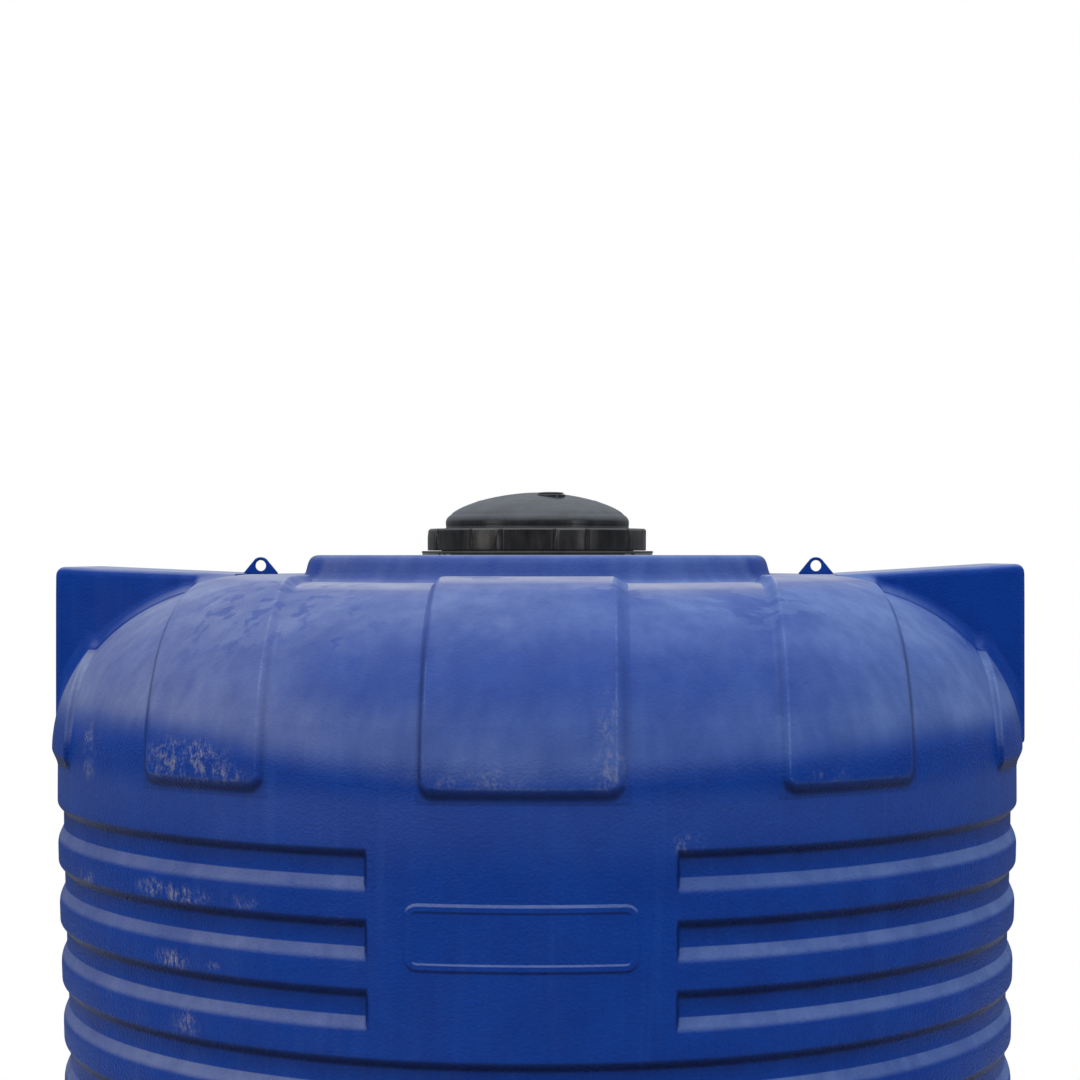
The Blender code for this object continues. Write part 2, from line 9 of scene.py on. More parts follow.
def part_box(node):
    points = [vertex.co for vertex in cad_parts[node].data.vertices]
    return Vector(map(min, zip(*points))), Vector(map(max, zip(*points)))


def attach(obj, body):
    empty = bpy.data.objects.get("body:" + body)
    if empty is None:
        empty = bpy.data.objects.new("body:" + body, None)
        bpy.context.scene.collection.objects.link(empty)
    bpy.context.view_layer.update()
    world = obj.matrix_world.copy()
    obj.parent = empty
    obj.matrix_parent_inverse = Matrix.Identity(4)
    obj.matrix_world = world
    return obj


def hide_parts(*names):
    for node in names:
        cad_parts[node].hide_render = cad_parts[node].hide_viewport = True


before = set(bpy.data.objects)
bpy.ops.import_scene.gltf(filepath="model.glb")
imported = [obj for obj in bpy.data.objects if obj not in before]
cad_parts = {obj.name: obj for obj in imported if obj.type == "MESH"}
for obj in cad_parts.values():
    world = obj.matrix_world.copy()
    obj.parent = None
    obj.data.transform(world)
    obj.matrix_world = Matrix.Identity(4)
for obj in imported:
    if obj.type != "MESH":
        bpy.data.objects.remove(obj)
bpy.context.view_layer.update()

shell_lo, shell_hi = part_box("tank_shell")
R = (shell_hi.x - shell_lo.x) / 2      # radius over the belts
H = shell_hi.z                         # turret top
scene = bpy.context.scene

# ------------------------------------------------------------ proportions
DECK_D, BELT_H, BELT_HR = 0.054 * R, 0.0135 * R, 0.0110 * R
R0, ZC = 0.596 * R, H - 0.394 * R
A0, B0 = 0.989 * R - R0, 0.394 * R - DECK_D
TURRET_R, TURRET_FOOT = 0.476 * R, 0.490 * R
N_GROOVES, GROOVE_D0, PITCH = 20, 0.498 * R, 0.1187 * R
G_WALL, G_FLOOR, G_SLOPE, G_DEPTH = 0.0134 * R, 0.033 * R, 0.025 * R, 0.012 * R
FRONT_HALF = math.radians(15.3)
YW = 0.180 * R
XW = 0.9827 * R


# ---------------------------------------------------------------- mesh tools
def smooth01(t):
    t = np.clip(t, 0.0, 1.0)
    return t * t * (3 - 2 * t)


def body_radius(depth):
    return R * (0.989 - 0.014 * smooth01((np.asarray(depth) / R - 0.45) / 0.60))


def mesh_obj(name, verts, faces, angle=35.0):
    me = bpy.data.meshes.new(name)
    me.from_pydata([tuple(map(float, v)) for v in verts], [], faces)
    me.validate()
    bm = bmesh.new()
    bm.from_mesh(me)
    bmesh.ops.remove_doubles(bm, verts=bm.verts, dist=1e-6)
    bmesh.ops.recalc_face_normals(bm, faces=bm.faces)
    bm.to_mesh(me)
    bm.free()
    me.shade_smooth()
    me.set_sharp_from_angle(angle=math.radians(angle))
    ob = bpy.data.objects.new(name, me)
    scene.collection.objects.link(ob)
    return ob


def strip(name, P, wrap=False, flip=False, angle=35.0):
    """Quad grid from an array of points, rows by columns."""
    P = np.asarray(P, float)
    n, m = P.shape[:2]
    idx = np.arange(n * m).reshape(n, m)
    faces = []
    last = m if wrap else m - 1
    for i in range(n - 1):
        for j in range(last):
            k = (j + 1) % m
            f = (int(idx[i, j]), int(idx[i, k]), int(idx[i + 1, k]), int(idx[i + 1, j]))
            faces.append(f[::-1] if flip else f)
    me = bpy.data.meshes.new(name)
    me.from_pydata(P.reshape(-1, 3).tolist(), [], faces)
    me.shade_smooth()
    me.set_sharp_from_angle(angle=math.radians(angle))
    ob = bpy.data.objects.new(name, me)
    scene.collection.objects.link(ob)
    return ob


def set_wear_and_highlight(ob, values):
    """A 0 to 1 share of edge wear and painted edge highlight at each vertex, read by the blue material."""
    return set_share(ob, "wear_and_highlight", values)


def set_share(ob, name, values):
    a = ob.data.attributes.new(name, "FLOAT", "POINT")
    a.data.foreach_set("value", np.asarray(values, np.float32).ravel())
    return ob


def rounded(points, radii, closed=False, seg=5):
    """Polyline with its corners turned into arcs of about the given radius."""
    pts = [np.array(p, float) for p in points]
    if not hasattr(radii, "__len__"):
        radii = [radii] * len(pts)
    out = []
    n = len(pts)
    for i in range(n):
        if not closed and i in (0, n - 1):
            out.append(pts[i])
            continue
        a, b, c = pts[i - 1], pts[i], pts[(i + 1) % n]
        la, lc = np.linalg.norm(a - b), np.linalg.norm(c - b)
        if la < 1e-9 or lc < 1e-9 or radii[i] <= 0:
            out.append(b)
            continue
        u, v = (a - b) / la, (c - b) / lc
        cosang = np.clip(np.dot(u, v), -1, 1)
        half = math.acos(cosang) / 2
        if half > math.pi / 2 - 0.03:
            out.append(b)
            continue
        t = min(radii[i] / math.tan(half), 0.45 * la, 0.45 * lc)
        for k in range(seg + 1):
            s = k / seg
            out.append((1 - s) ** 2 * (b + u * t) + 2 * s * (1 - s) * b + s * s * (b + v * t))
    return out


def densify(pts, step):
    out = [pts[0]]
    for a, b in zip(pts[:-1], pts[1:]):
        n = max(1, int(math.ceil(np.linalg.norm(np.array(b) - np.array(a)) / step)))
        for k in range(1, n + 1):
            out.append(np.array(a) + (np.array(b) - np.array(a)) * k / n)
    return out


def turn(name, profile, n=96, radius=0.001, seg=4, closed=True, warp=None, angle=30.0, matrix=None):
    """Solid of revolution from an outline of (r, z), corners rounded. warp(r, z, angle) may move a point."""
    prof = rounded(profile, radius, closed=closed, seg=seg)
    m = len(prof)
    verts, faces, rings = [], [], []
    for r, z in prof:
        if r < 1e-7:
            rings.append([len(verts)])
            verts.append((0, 0, z))
        else:
            ring = []
            for i in range(n):
                a = 2 * math.pi * i / n
                rr, zz = (r, z) if warp is None else warp(r, z, a)
                ring.append(len(verts))
                verts.append((rr * math.cos(a), rr * math.sin(a), zz))
            rings.append(ring)
    for k in range(m if closed else m - 1):
        a, b = rings[k], rings[(k + 1) % m]
        if len(a) == 1 and len(b) == 1:
            continue
        for i in range(n):
            j = (i + 1) % n
            if len(a) == 1:
                faces.append((a[0], b[i], b[j]))
            elif len(b) == 1:
                faces.append((a[i], b[0], a[j]))
            else:
                faces.append((a[i], b[i], b[j], a[j]))
    ob = mesh_obj(name, verts, faces, angle)
    if matrix is not None:
        ob.data.transform(matrix)
    return ob


def cut(ob, cutter, how="DIFFERENCE"):
    """Boolean, applied to the mesh; the cutter goes."""
    mod = ob.modifiers.new("cut", "BOOLEAN")
    mod.operation = how
    mod.solver = "EXACT"
    mod.object = cutter
    dg = bpy.context.evaluated_depsgraph_get()
    me = bpy.data.meshes.new_from_object(ob.evaluated_get(dg), depsgraph=dg)
    ob.modifiers.clear()
    old = ob.data
    ob.data = me
    bpy.data.meshes.remove(old)
    me.shade_smooth()
    me.set_sharp_from_angle(angle=math.radians(30))
    bpy.data.objects.remove(cutter)
    return ob


def thicken(ob, inside, thickness=0.003):
    """Closes an open surface into a thin body: faces turned away from a point inside, then backed with an inner skin."""
    me = ob.data
    c = Vector(inside)
    if sum((q.center - c).dot(q.normal) * q.area for q in me.polygons) < 0:
        me.flip_normals()
    mod = ob.modifiers.new("back", "SOLIDIFY")
    mod.thickness = thickness
    mod.offset = -1.0
    mod.use_rim = True
    dg = bpy.context.evaluated_depsgraph_get()
    new = bpy.data.meshes.new_from_object(ob.evaluated_get(dg), preserve_all_data_layers=True, depsgraph=dg)
    ob.modifiers.clear()
    ob.data = new
    bpy.data.meshes.remove(me)
    new.shade_smooth()
    new.set_sharp_from_angle(angle=math.radians(50))
    return ob


def wobble(theta, z):
    """Slow unevenness of a rotomoulded wall, in metres."""
    return 0.0007 * (np.sin(5 * theta + 3.1 * z) + 0.7 * np.sin(11 * theta - 6.0 * z + 1.0) + 0.5 * np.sin(3 * theta + 14.0 * z) + 0.35 * np.sin(23 * theta + 9.0 * z))


# ---------------------------------------------------------------- materials
class Tree:
    def __init__(self, name):
        self.mat = bpy.data.materials.new(name)
        self.mat.use_nodes = True
        self.nt = self.mat.node_tree
        self.p = self.nt.nodes["Principled BSDF"]
        self.co = self.new("ShaderNodeTexCoord").outputs["Object"]

    def new(self, kind, **inputs):
        n = self.nt.nodes.new(kind)
        for k, v in inputs.items():
            self.put(n.inputs[k.replace("_", " ")], v)
        return n

    def put(self, socket, v):
        if isinstance(v, bpy.types.NodeSocket):
            self.nt.links.new(v, socket)
        else:
            socket.default_value = v

    def math(self, op, a, b=0.0, c=None, clamp=False):
        n = self.nt.nodes.new("ShaderNodeMath")
        n.operation = op
        n.use_clamp = clamp
        self.put(n.inputs[0], a)
        self.put(n.inputs[1], b)
        if c is not None:
            self.put(n.inputs[2], c)
        return n.outputs[0]

    def ramp(self, v, lo, hi, to_lo=0.0, to_hi=1.0, smooth=True):
        n = self.nt.nodes.new("ShaderNodeMapRange")
        n.interpolation_type = "SMOOTHSTEP" if smooth else "LINEAR"
        self.put(n.inputs[0], v)
        n.inputs[1].default_value, n.inputs[2].default_value = lo, hi
        n.inputs[3].default_value, n.inputs[4].default_value = to_lo, to_hi
        return n.outputs[0]

    def scaled(self, s):
        n = self.nt.nodes.new("ShaderNodeMapping")
        self.put(n.inputs["Vector"], self.co)
        n.inputs["Scale"].default_value = s
        return n.outputs[0]

    def noise(self, scale=5.0, detail=3.0, rough=0.5, stretch=None, distort=0.0):
        n = self.nt.nodes.new("ShaderNodeTexNoise")
        self.put(n.inputs["Vector"], self.scaled(stretch) if stretch else self.co)
        n.inputs["Scale"].default_value = scale
        n.inputs["Detail"].default_value = detail
        n.inputs["Roughness"].default_value = rough
        n.inputs["Distortion"].default_value = distort
        return n.outputs["Fac"]

    def mix(self, f, a, b):
        n = self.nt.nodes.new("ShaderNodeMix")
        n.data_type = "RGBA"
        self.put(n.inputs[0], f)
        self.put(n.inputs[6], a)
        self.put(n.inputs[7], b)
        return n.outputs[2]

    def xyz(self, v=None):
        n = self.nt.nodes.new("ShaderNodeSeparateXYZ")
        self.put(n.inputs[0], self.co if v is None else v)
        return n.outputs

    def normal_z(self):
        g = self.nt.nodes.new("ShaderNodeNewGeometry")
        return self.xyz(g.outputs["Normal"])[2]

    def spot(self, at, radius, stretch=(1, 1, 1)):
        """1 at a point, falling to 0 at radius."""
        n = self.nt.nodes.new("ShaderNodeVectorMath")
        n.operation = "SUBTRACT"
        self.put(n.inputs[0], self.co)
        n.inputs[1].default_value = at
        m = self.nt.nodes.new("ShaderNodeVectorMath")
        m.operation = "MULTIPLY"
        self.put(m.inputs[0], n.outputs[0])
        m.inputs[1].default_value = stretch
        length = self.nt.nodes.new("ShaderNodeVectorMath")
        length.operation = "LENGTH"
        self.put(length.inputs[0], m.outputs[0])
        return self.ramp(length.outputs["Value"], radius, radius * 0.25)

    def bump(self, height, strength, distance, before=None):
        n = self.nt.nodes.new("ShaderNodeBump")
        n.inputs["Strength"].default_value = strength
        n.inputs["Distance"].default_value = distance
        self.put(n.inputs["Height"], height)
        if before is not None:
            self.put(n.inputs["Normal"], before)
        return n.outputs[0]


def srgb(r, g, b):
    def f(c):
        c /= 255.0
        return c / 12.92 if c <= 0.04045 else ((c + 0.055) / 1.055) ** 2.4
    return (f(r), f(g), f(b), 1.0)


def on_wall(theta_deg, depth, r=0.99):
    """A point on the wall: angle from the front, positive to +X, and depth below the turret top over R."""
    t = math.radians(theta_deg)
    return (r * R * math.sin(t), -r * R * math.cos(t), H - depth * R)


def blue_pe(name):
    t = Tree(name)
    x, y, z = t.xyz()
    depth = t.math("SUBTRACT", H, z)
    nz = t.normal_z()
    cloud = t.noise(2.2, 4.0, 0.6, stretch=(1, 1, 0.7))
    cloud2 = t.noise(9.0, 5.0, 0.65)
    drip = t.noise(26.0, 3.0, 0.55, stretch=(1, 1, 0.035))
    fine = t.noise(160.0, 4.0, 0.7)
    # dust settles wherever the wall leans back: the whole shoulder and each groove's lower slope, where the pale film
    # is also a painted highlight
    ay = t.math("ABSOLUTE", y)
    clear = t.ramp(ay, 0.203 * R, 0.238 * R)                       # 0 on the shoulder blocks, which stay cleaner
    reach = t.math("ADD", depth, t.math("MULTIPLY", t.math("ABSOLUTE", x), 0.085))
    reach = t.math("ADD", reach, t.ramp(x, -0.35, -0.95, 0.0, 0.05))
    shoulder = t.math("MULTIPLY", t.ramp(reach, 0.425 * R, 0.345 * R), clear)
    lean = t.math("MAXIMUM", t.ramp(nz, 0.14, 0.38), t.math("MULTIPLY", shoulder, 0.9))
    block_lean = t.ramp(nz, 0.45, 0.90, 0.0, 0.9)
    on_block = t.math("MULTIPLY", t.math("SUBTRACT", 1.0, clear), t.ramp(depth, 0.40 * R, 0.37 * R))
    lean = t.math("ADD", t.math("MULTIPLY", lean, t.math("SUBTRACT", 1.0, on_block)), t.math("MULTIPLY", block_lean, on_block))
    amount = t.ramp(cloud, 0.32, 0.68, 0.10, 0.27)
    amount = t.math("ADD", amount, t.math("MULTIPLY", t.ramp(nz, 0.62, 0.94, 0.0, 0.19), t.ramp(cloud2, 0.30, 0.62, 0.85, 1.05)))
    amount = t.math("ADD", amount, t.math("MULTIPLY", t.ramp(depth, 0.21 * R, 0.32 * R), t.ramp(reach, 0.420 * R, 0.370 * R, 0.0, 0.13)))
    amount = t.math("ADD", amount, t.math("MULTIPLY", t.ramp(x, -0.35, -1.05, 0.0, 0.22), t.ramp(depth, 0.34 * R, 0.26 * R, 0.15, 1.0)))
    amount = t.math("ADD", amount, t.math("MULTIPLY", t.ramp(x, 0.55, 1.05, 0.0, 0.18), t.ramp(depth, 0.36 * R, 0.28 * R, 0.2, 1.0)))
    # painted highlight mixed with dust: extra pale film on the up-facing lower slope of every groove
    amount = t.math("ADD", amount, t.ramp(depth, 0.42 * R, 0.46 * R, 0.0, 0.17))
    film = t.math("MULTIPLY", lean, amount)
    film = t.math("MULTIPLY", film, t.ramp(cloud2, 0.25, 0.75, 0.84, 1.14))
    film = t.math("MULTIPLY", film, t.ramp(drip, 0.35, 0.62, 0.90, 1.08))
    # the upright wall has only a thin, streaky haze
    low = t.math("MULTIPLY", t.ramp(cloud, 0.42, 0.70), t.ramp(drip, 0.42, 0.64, 0.45, 1.0))
    low = t.math("MULTIPLY", low, t.ramp(x, 0.5, -0.9, 0.004, 0.045))
    haze = t.math("MULTIPLY", t.ramp(depth, 0.38 * R, 0.43 * R), t.ramp(depth, 0.56 * R, 0.43 * R, 0.0, 0.06))
    film = t.math("MAXIMUM", film, t.math("ADD", low, haze))
    ledge = t.math("MULTIPLY", t.ramp(nz, 0.955, 0.995), t.ramp(cloud2, 0.28, 0.68, 0.70, 0.92))
    film = t.math("MAXIMUM", film, ledge)
    # edge wear and painted edge highlight: a pale, broken line along the belts' upper rims
    wear_and_highlight = t.nt.nodes.new("ShaderNodeAttribute")
    wear_and_highlight.attribute_name = "wear_and_highlight"
    worn_and_highlit = t.math("MULTIPLY", wear_and_highlight.outputs["Fac"], t.ramp(fine, 0.42, 0.60, 0.25, 1.0))
    worn_and_highlit = t.math("MULTIPLY", worn_and_highlit, t.ramp(cloud2, 0.40, 0.62, 0.25, 1.0))
    film = t.math("ADD", film, t.math("MULTIPLY", worn_and_highlit, 0.30), clamp=True)
    # hands and rain have wiped the left shoulder in slanting streaks
    wipe_map = t.nt.nodes.new("ShaderNodeMapping")
    t.put(wipe_map.inputs["Vector"], t.co)
    wipe_map.inputs["Rotation"].default_value = (0.0, math.radians(38), 0.0)
    wipe_map.inputs["Scale"].default_value = (9.0, 9.0, 1.5)
    wn = t.nt.nodes.new("ShaderNodeTexNoise")
    t.put(wn.inputs["Vector"], wipe_map.outputs[0])
    wn.inputs["Scale"].default_value = 3.0
    wn.inputs["Detail"].default_value = 2.0
    wiped = t.math("MULTIPLY", t.ramp(wn.outputs["Fac"], 0.52, 0.64), t.spot(on_wall(-38, 0.085, 0.80), 0.34, (1, 1, 1.6)))
    blot = t.noise(6.5, 3.0, 0.5, distort=1.2)
    where = None
    for th, d, rad, st in ((-22, 0.135, 0.16, (1.6, 1, 0.9)), (13, 0.075, 0.13, (1, 1, 1.5)), (33, 0.095, 0.20, (1, 1, 1.6)), (9, 0.06, 0.08, (1, 1, 2)), (-8, 0.03, 0.12, (1, 1, 2)), (150, 0.10, 0.25, (1, 1, 1)), (-120, 0.12, 0.22, (1, 1, 1)), (75, 0.2, 0.15, (1, 1, 1))):
        k = math.sqrt(max(1 - max(0.0, 0.394 - d) ** 2 / 0.1156, 0.0))
        v = t.spot(on_wall(th, d, 0.596 + 0.393 * k), rad, st)
        where = v if where is None else t.math("MAXIMUM", where, v)
    wiped = t.math("MAXIMUM", wiped, t.math("MULTIPLY", t.ramp(blot, 0.49, 0.53), where))
    film = t.math("MULTIPLY", film, t.math("SUBTRACT", 1.0, t.math("MULTIPLY", wiped, 0.50)), clamp=True)
    base = t.mix(t.ramp(cloud2, 0.3, 0.7), BLUE_A, BLUE_B)
    base = t.mix(t.ramp(drip, 0.58, 0.70, 0.0, 0.14), base, BLUE_C)
    dust = t.mix(t.ramp(x, 0.6, -0.9), DUST, DUST_L)
    dust = t.mix(t.ramp(nz, 0.93, 0.99), dust, DUST_UP)
    colour = t.mix(film, base, dust)
    # rubbed patches with pinkish grit
    grit = t.noise(105.0, 6.0, 0.78, stretch=(1, 1, 0.5), distort=0.5)
    coarse = t.noise(17.0, 4.0, 0.65)
    marks = None
    for th, d, rad, st, wt in ((-37, 0.365, 0.17, (1, 1, 2.4), 1.0), (-33, 0.383, 0.12, (1, 1, 4.0), 1.0), (-57, 0.345, 0.070, (1, 1, 1.3), 0.9), (-57, 0.40, 0.05, (1, 1, 1.4), 0.6), (-58, 0.605, 0.060, (1, 1, 2.0), 0.9),
                               (-43, 0.596, 0.075, (1, 1, 2.6), 0.9), (-38, 0.602, 0.11, (1, 1, 3.4), 0.9), (-30, 0.602, 0.06, (1, 1, 3.0), 0.6), (-40, 0.722, 0.075, (1, 1, 2.0), 1.0), (-34, 0.718, 0.05, (1, 1, 3.0), 0.7),
                               (-38, 0.83, 0.055, (1, 1, 1.2), 0.7), (-52, 0.80, 0.04, (1, 1, 1.2), 0.5), (-19, 0.625, 0.06, (1, 1, 3.0), 0.35), (8.4, 0.26, 0.11, (2.8, 1, 0.8), 0.35), (8.6, 0.36, 0.09, (1.8, 1, 1.2), 0.45), (-4, 0.376, 0.20, (1, 1, 7.0), 0.4),
                               (-9, 0.37, 0.07, (1.5, 1, 2.0), 0.3), (2, 0.215, 0.045, (1, 1, 1.6), 0.3), (16.5, 0.49, 0.05, (1, 1, 1.5), 0.5), (32, 0.378, 0.07, (1, 1, 3.0), 0.35), (120, 0.6, 0.16, (1, 1, 3), 0.8), (-140, 0.72, 0.2, (1, 1, 3), 0.8),
                               (60, 1.6, 0.22, (1, 1, 3), 0.8), (-20, 1.9, 0.25, (1, 1, 3), 0.8), (160, 2.2, 0.3, (1, 1, 3), 0.8), (15, 2.7, 0.25, (1, 1, 2), 0.8)):
        v = t.math("MULTIPLY", t.spot(on_wall(th, d), rad, st), wt)
        marks = v if marks is None else t.math("MAXIMUM", marks, v)
    rub = t.math("MULTIPLY", t.ramp(grit, 0.46, 0.60), t.ramp(coarse, 0.40, 0.56))
    rub = t.math("MULTIPLY", rub, marks, clamp=True)
    stray = t.math("MULTIPLY", t.ramp(grit, 0.66, 0.72), t.ramp(coarse, 0.56, 0.66))
    stray = t.math("MULTIPLY", stray, 0.5)
    rub = t.math("MAXIMUM", rub, stray, clamp=True)
    colour = t.mix(t.math("MULTIPLY", rub, 0.66), colour, GRIT)
    # painted shade under each rib and belt: wherever the surface faces down it is darkened towards a deep blue
    down = t.ramp(nz, -0.06, -0.50)
    colour = t.mix(t.math("MULTIPLY", down, 0.60), colour, SHADE)
    # painted shade from a per-vertex share: under each groove's top wall, at the short grooves' ends and beside the
    # belts' flanks and lower ends
    painted_shade = t.nt.nodes.new("ShaderNodeAttribute")
    painted_shade.attribute_name = "painted_shade"
    colour = t.mix(t.math("MULTIPLY", painted_shade.outputs["Fac"], t.ramp(cloud2, 0.2, 0.7, 0.88, 0.62)), colour, SHADE)
    t.put(t.p.inputs["Base Color"], colour)
    t.put(t.p.inputs["Roughness"], t.math("ADD", t.ramp(fine, 0.3, 0.7, 0.36, 0.46), t.math("MULTIPLY", film, 0.45), clamp=True))
    t.p.inputs["Specular IOR Level"].default_value = 0.14
    peel = t.noise(135.0, 2.0, 0.5, stretch=(1, 1, 1.25))
    peel2 = t.noise(38.0, 2.0, 0.5)
    below = t.ramp(depth, 0.330 * R, 0.362 * R, 0.30, 1.0)
    n1 = t.bump(t.math("MULTIPLY", peel, below), 1.0, 0.0048)
    n2 = t.bump(peel2, 0.10, 0.003, n1)
    n3 = t.bump(rub, 0.12, 0.0006, n2)
    t.put(t.p.inputs["Normal"], n3)
    return t.mat


BLUE_A = srgb(0, 54, 143)
BLUE_B = srgb(0, 60, 152)
BLUE_C = srgb(30, 84, 168)
DUST = srgb(138, 160, 206)
DUST_L = srgb(156, 162, 188)
DUST_UP = srgb(166, 168, 190)
GRIT = srgb(164, 160, 166)
SHADE = srgb(0, 12, 52)


def moulded(name, dark, light, dust, film=0.5, rough=0.40, tex=140.0, patchy=0.3):
    """Injection-moulded plastic or rubber with dust on what faces up, wiped and smeared in patches."""
    t = Tree(name)
    nz = t.normal_z()
    cloud = t.noise(9.0, 5.0, 0.62, distort=0.8)
    smear = t.noise(30.0, 3.0, 0.6, stretch=(1, 1, 0.25))
    speck = t.noise(260.0, 3.0, 0.7)
    up = t.ramp(nz, 0.0, 0.8, 0.10, 1.0)
    f = t.math("MULTIPLY", up, t.ramp(cloud, 0.36, 0.62, patchy, 1.0))
    f = t.math("MULTIPLY", f, t.ramp(smear, 0.30, 0.62, 0.70, 1.05))
    f = t.math("ADD", f, t.ramp(speck, 0.66, 0.80, 0.0, 0.14), clamp=True)
    base = t.mix(t.ramp(smear, 0.35, 0.65), dark, light)
    t.put(t.p.inputs["Base Color"], t.mix(t.math("MULTIPLY", f, film), base, dust))
    t.put(t.p.inputs["Roughness"], t.math("ADD", t.math("MULTIPLY", f, 0.35), t.ramp(smear, 0.3, 0.7, rough - 0.06, rough + 0.08), clamp=True))
    t.put(t.p.inputs["Normal"], t.bump(t.noise(tex, 3.0, 0.5), 0.10, 0.0008))
    return t.mat


def metal(name, colour, rough):
    t = Tree(name)
    grain = t.noise(180.0, 3.0, 0.6, stretch=(1, 1, 0.08))
    cloud = t.noise(40.0, 3.0, 0.6)
    t.put(t.p.inputs["Base Color"], t.mix(t.ramp(cloud, 0.4, 0.75), colour, (colour[0] * 0.55, colour[1] * 0.54, colour[2] * 0.52, 1)))
    t.p.inputs["Metallic"].default_value = 1.0
    t.put(t.p.inputs["Roughness"], t.ramp(grain, 0.3, 0.7, rough - 0.08, rough + 0.12))
    t.put(t.p.inputs["Normal"], t.bump(grain, 0.08, 0.0004))
    return t.mat


M_BLUE = blue_pe("blue_polyethylene")
M_INSIDE = moulded("blue_inside", srgb(14, 62, 150), srgb(20, 72, 165), srgb(90, 120, 190), 0.25, 0.55)
M_BLACK = moulded("black_lid", srgb(20, 20, 22), srgb(34, 34, 37), srgb(118, 120, 130), 0.46, 0.28)
M_RING = moulded("black_ring", srgb(16, 14, 13), srgb(36, 31, 28), srgb(112, 108, 104), 0.34, 0.24)
M_COLLAR = moulded("black_collar", srgb(38, 38, 32), srgb(52, 52, 44), srgb(118, 116, 104), 0.45, 0.45)
M_RUBBER = moulded("rubber_seal", srgb(36, 36, 32), srgb(48, 48, 42), srgb(110, 108, 100), 0.30, 0.72)
M_GREY = moulded("grey_pvc", srgb(96, 101, 108), srgb(112, 117, 124), srgb(168, 166, 158), 0.45, 0.42)
M_WHITE = moulded("ptfe", srgb(214, 214, 208), srgb(228, 228, 222), srgb(196, 194, 186), 0.30, 0.45)
M_RED = moulded("red_lever", srgb(158, 34, 26), srgb(176, 44, 34), srgb(176, 140, 128), 0.40, 0.42)
M_STEEL = metal("stainless", (0.60, 0.60, 0.61, 1), 0.30)


def dress(ob, mat):
    ob.data.materials.clear()
    ob.data.materials.append(mat)


def place(ob, body, mat, *nodes, slot=None):
    dress(ob, mat)
    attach(ob, body)
    if nodes:
        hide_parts(*nodes)
    return ob


# --------------------------------------------------------- the tank's moulding
def base_columns():
    """Angles from the front, closer together where the short grooves end."""
    a = list(np.radians(np.arange(0, 360, 2.0)))
    for side in (-1, 1):
        for k in np.linspace(-0.15, 0.75, 9):
            a.append((side * (FRONT_HALF + math.radians(k))) % (2 * math.pi))
    a = sorted(a)
    keep = [a[0]]
    for v in a[1:]:
        if v - keep[-1] > math.radians(0.07):
            keep.append(v)
    return np.array(keep)


def outer_rows():
    """Rows of (radius, height, groove index or -1, groove depth at that row)."""
    rows = []
    top = rounded([(0.222, H - 0.012), (0.222, H), (TURRET_R, H), (TURRET_FOOT, H - DECK_D), (R0, H - DECK_D)], [0, 0.003, 0.030, 0.036, 0], seg=7)
    top = densify(top, 0.035)
    rows += [(r, z, -1, 0.0) for r, z in top]
    for i in range(1, 61):
        t = math.pi / 2 * i / 60
        rows.append((R0 + A0 * math.sin(t), ZC + B0 * math.cos(t), -1, 0.0))
    for d in np.linspace(0.394 * R, GROOVE_D0 - 0.020, 8)[1:]:
        rows.append((float(body_radius(d)), H - d, -1, 0.0))
    outline = [(-0.014, 0), (0, 0), (G_WALL, G_DEPTH), (G_WALL + G_FLOOR, G_DEPTH), (G_WALL + G_FLOOR + G_SLOPE, 0), (PITCH - 0.022, 0)]
    shapes = [rounded(outline, [0, 0.015, 0.015, 0.010, 0.060, 0], seg=q) for q in (5, 2)]
    for k in range(N_GROOVES):
        d0 = GROOVE_D0 + PITCH * k
        for v, dep in shapes[0 if k < 5 else 1]:
            rows.append((float(body_radius(d0 + v)), H - d0 - v, k, float(dep)))
    foot = float(body_radius(H))
    last = rows[-1]
    low = rounded([(foot, last[1] - 0.01), (foot, 0.055), (foot - 0.055, 0.0), (0.02, 0.0)], [0, 0.05, 0.045, 0], seg=6)
    rows += [(r, z, -1, 0.0) for r, z in densify(low, 0.09)]
    return rows


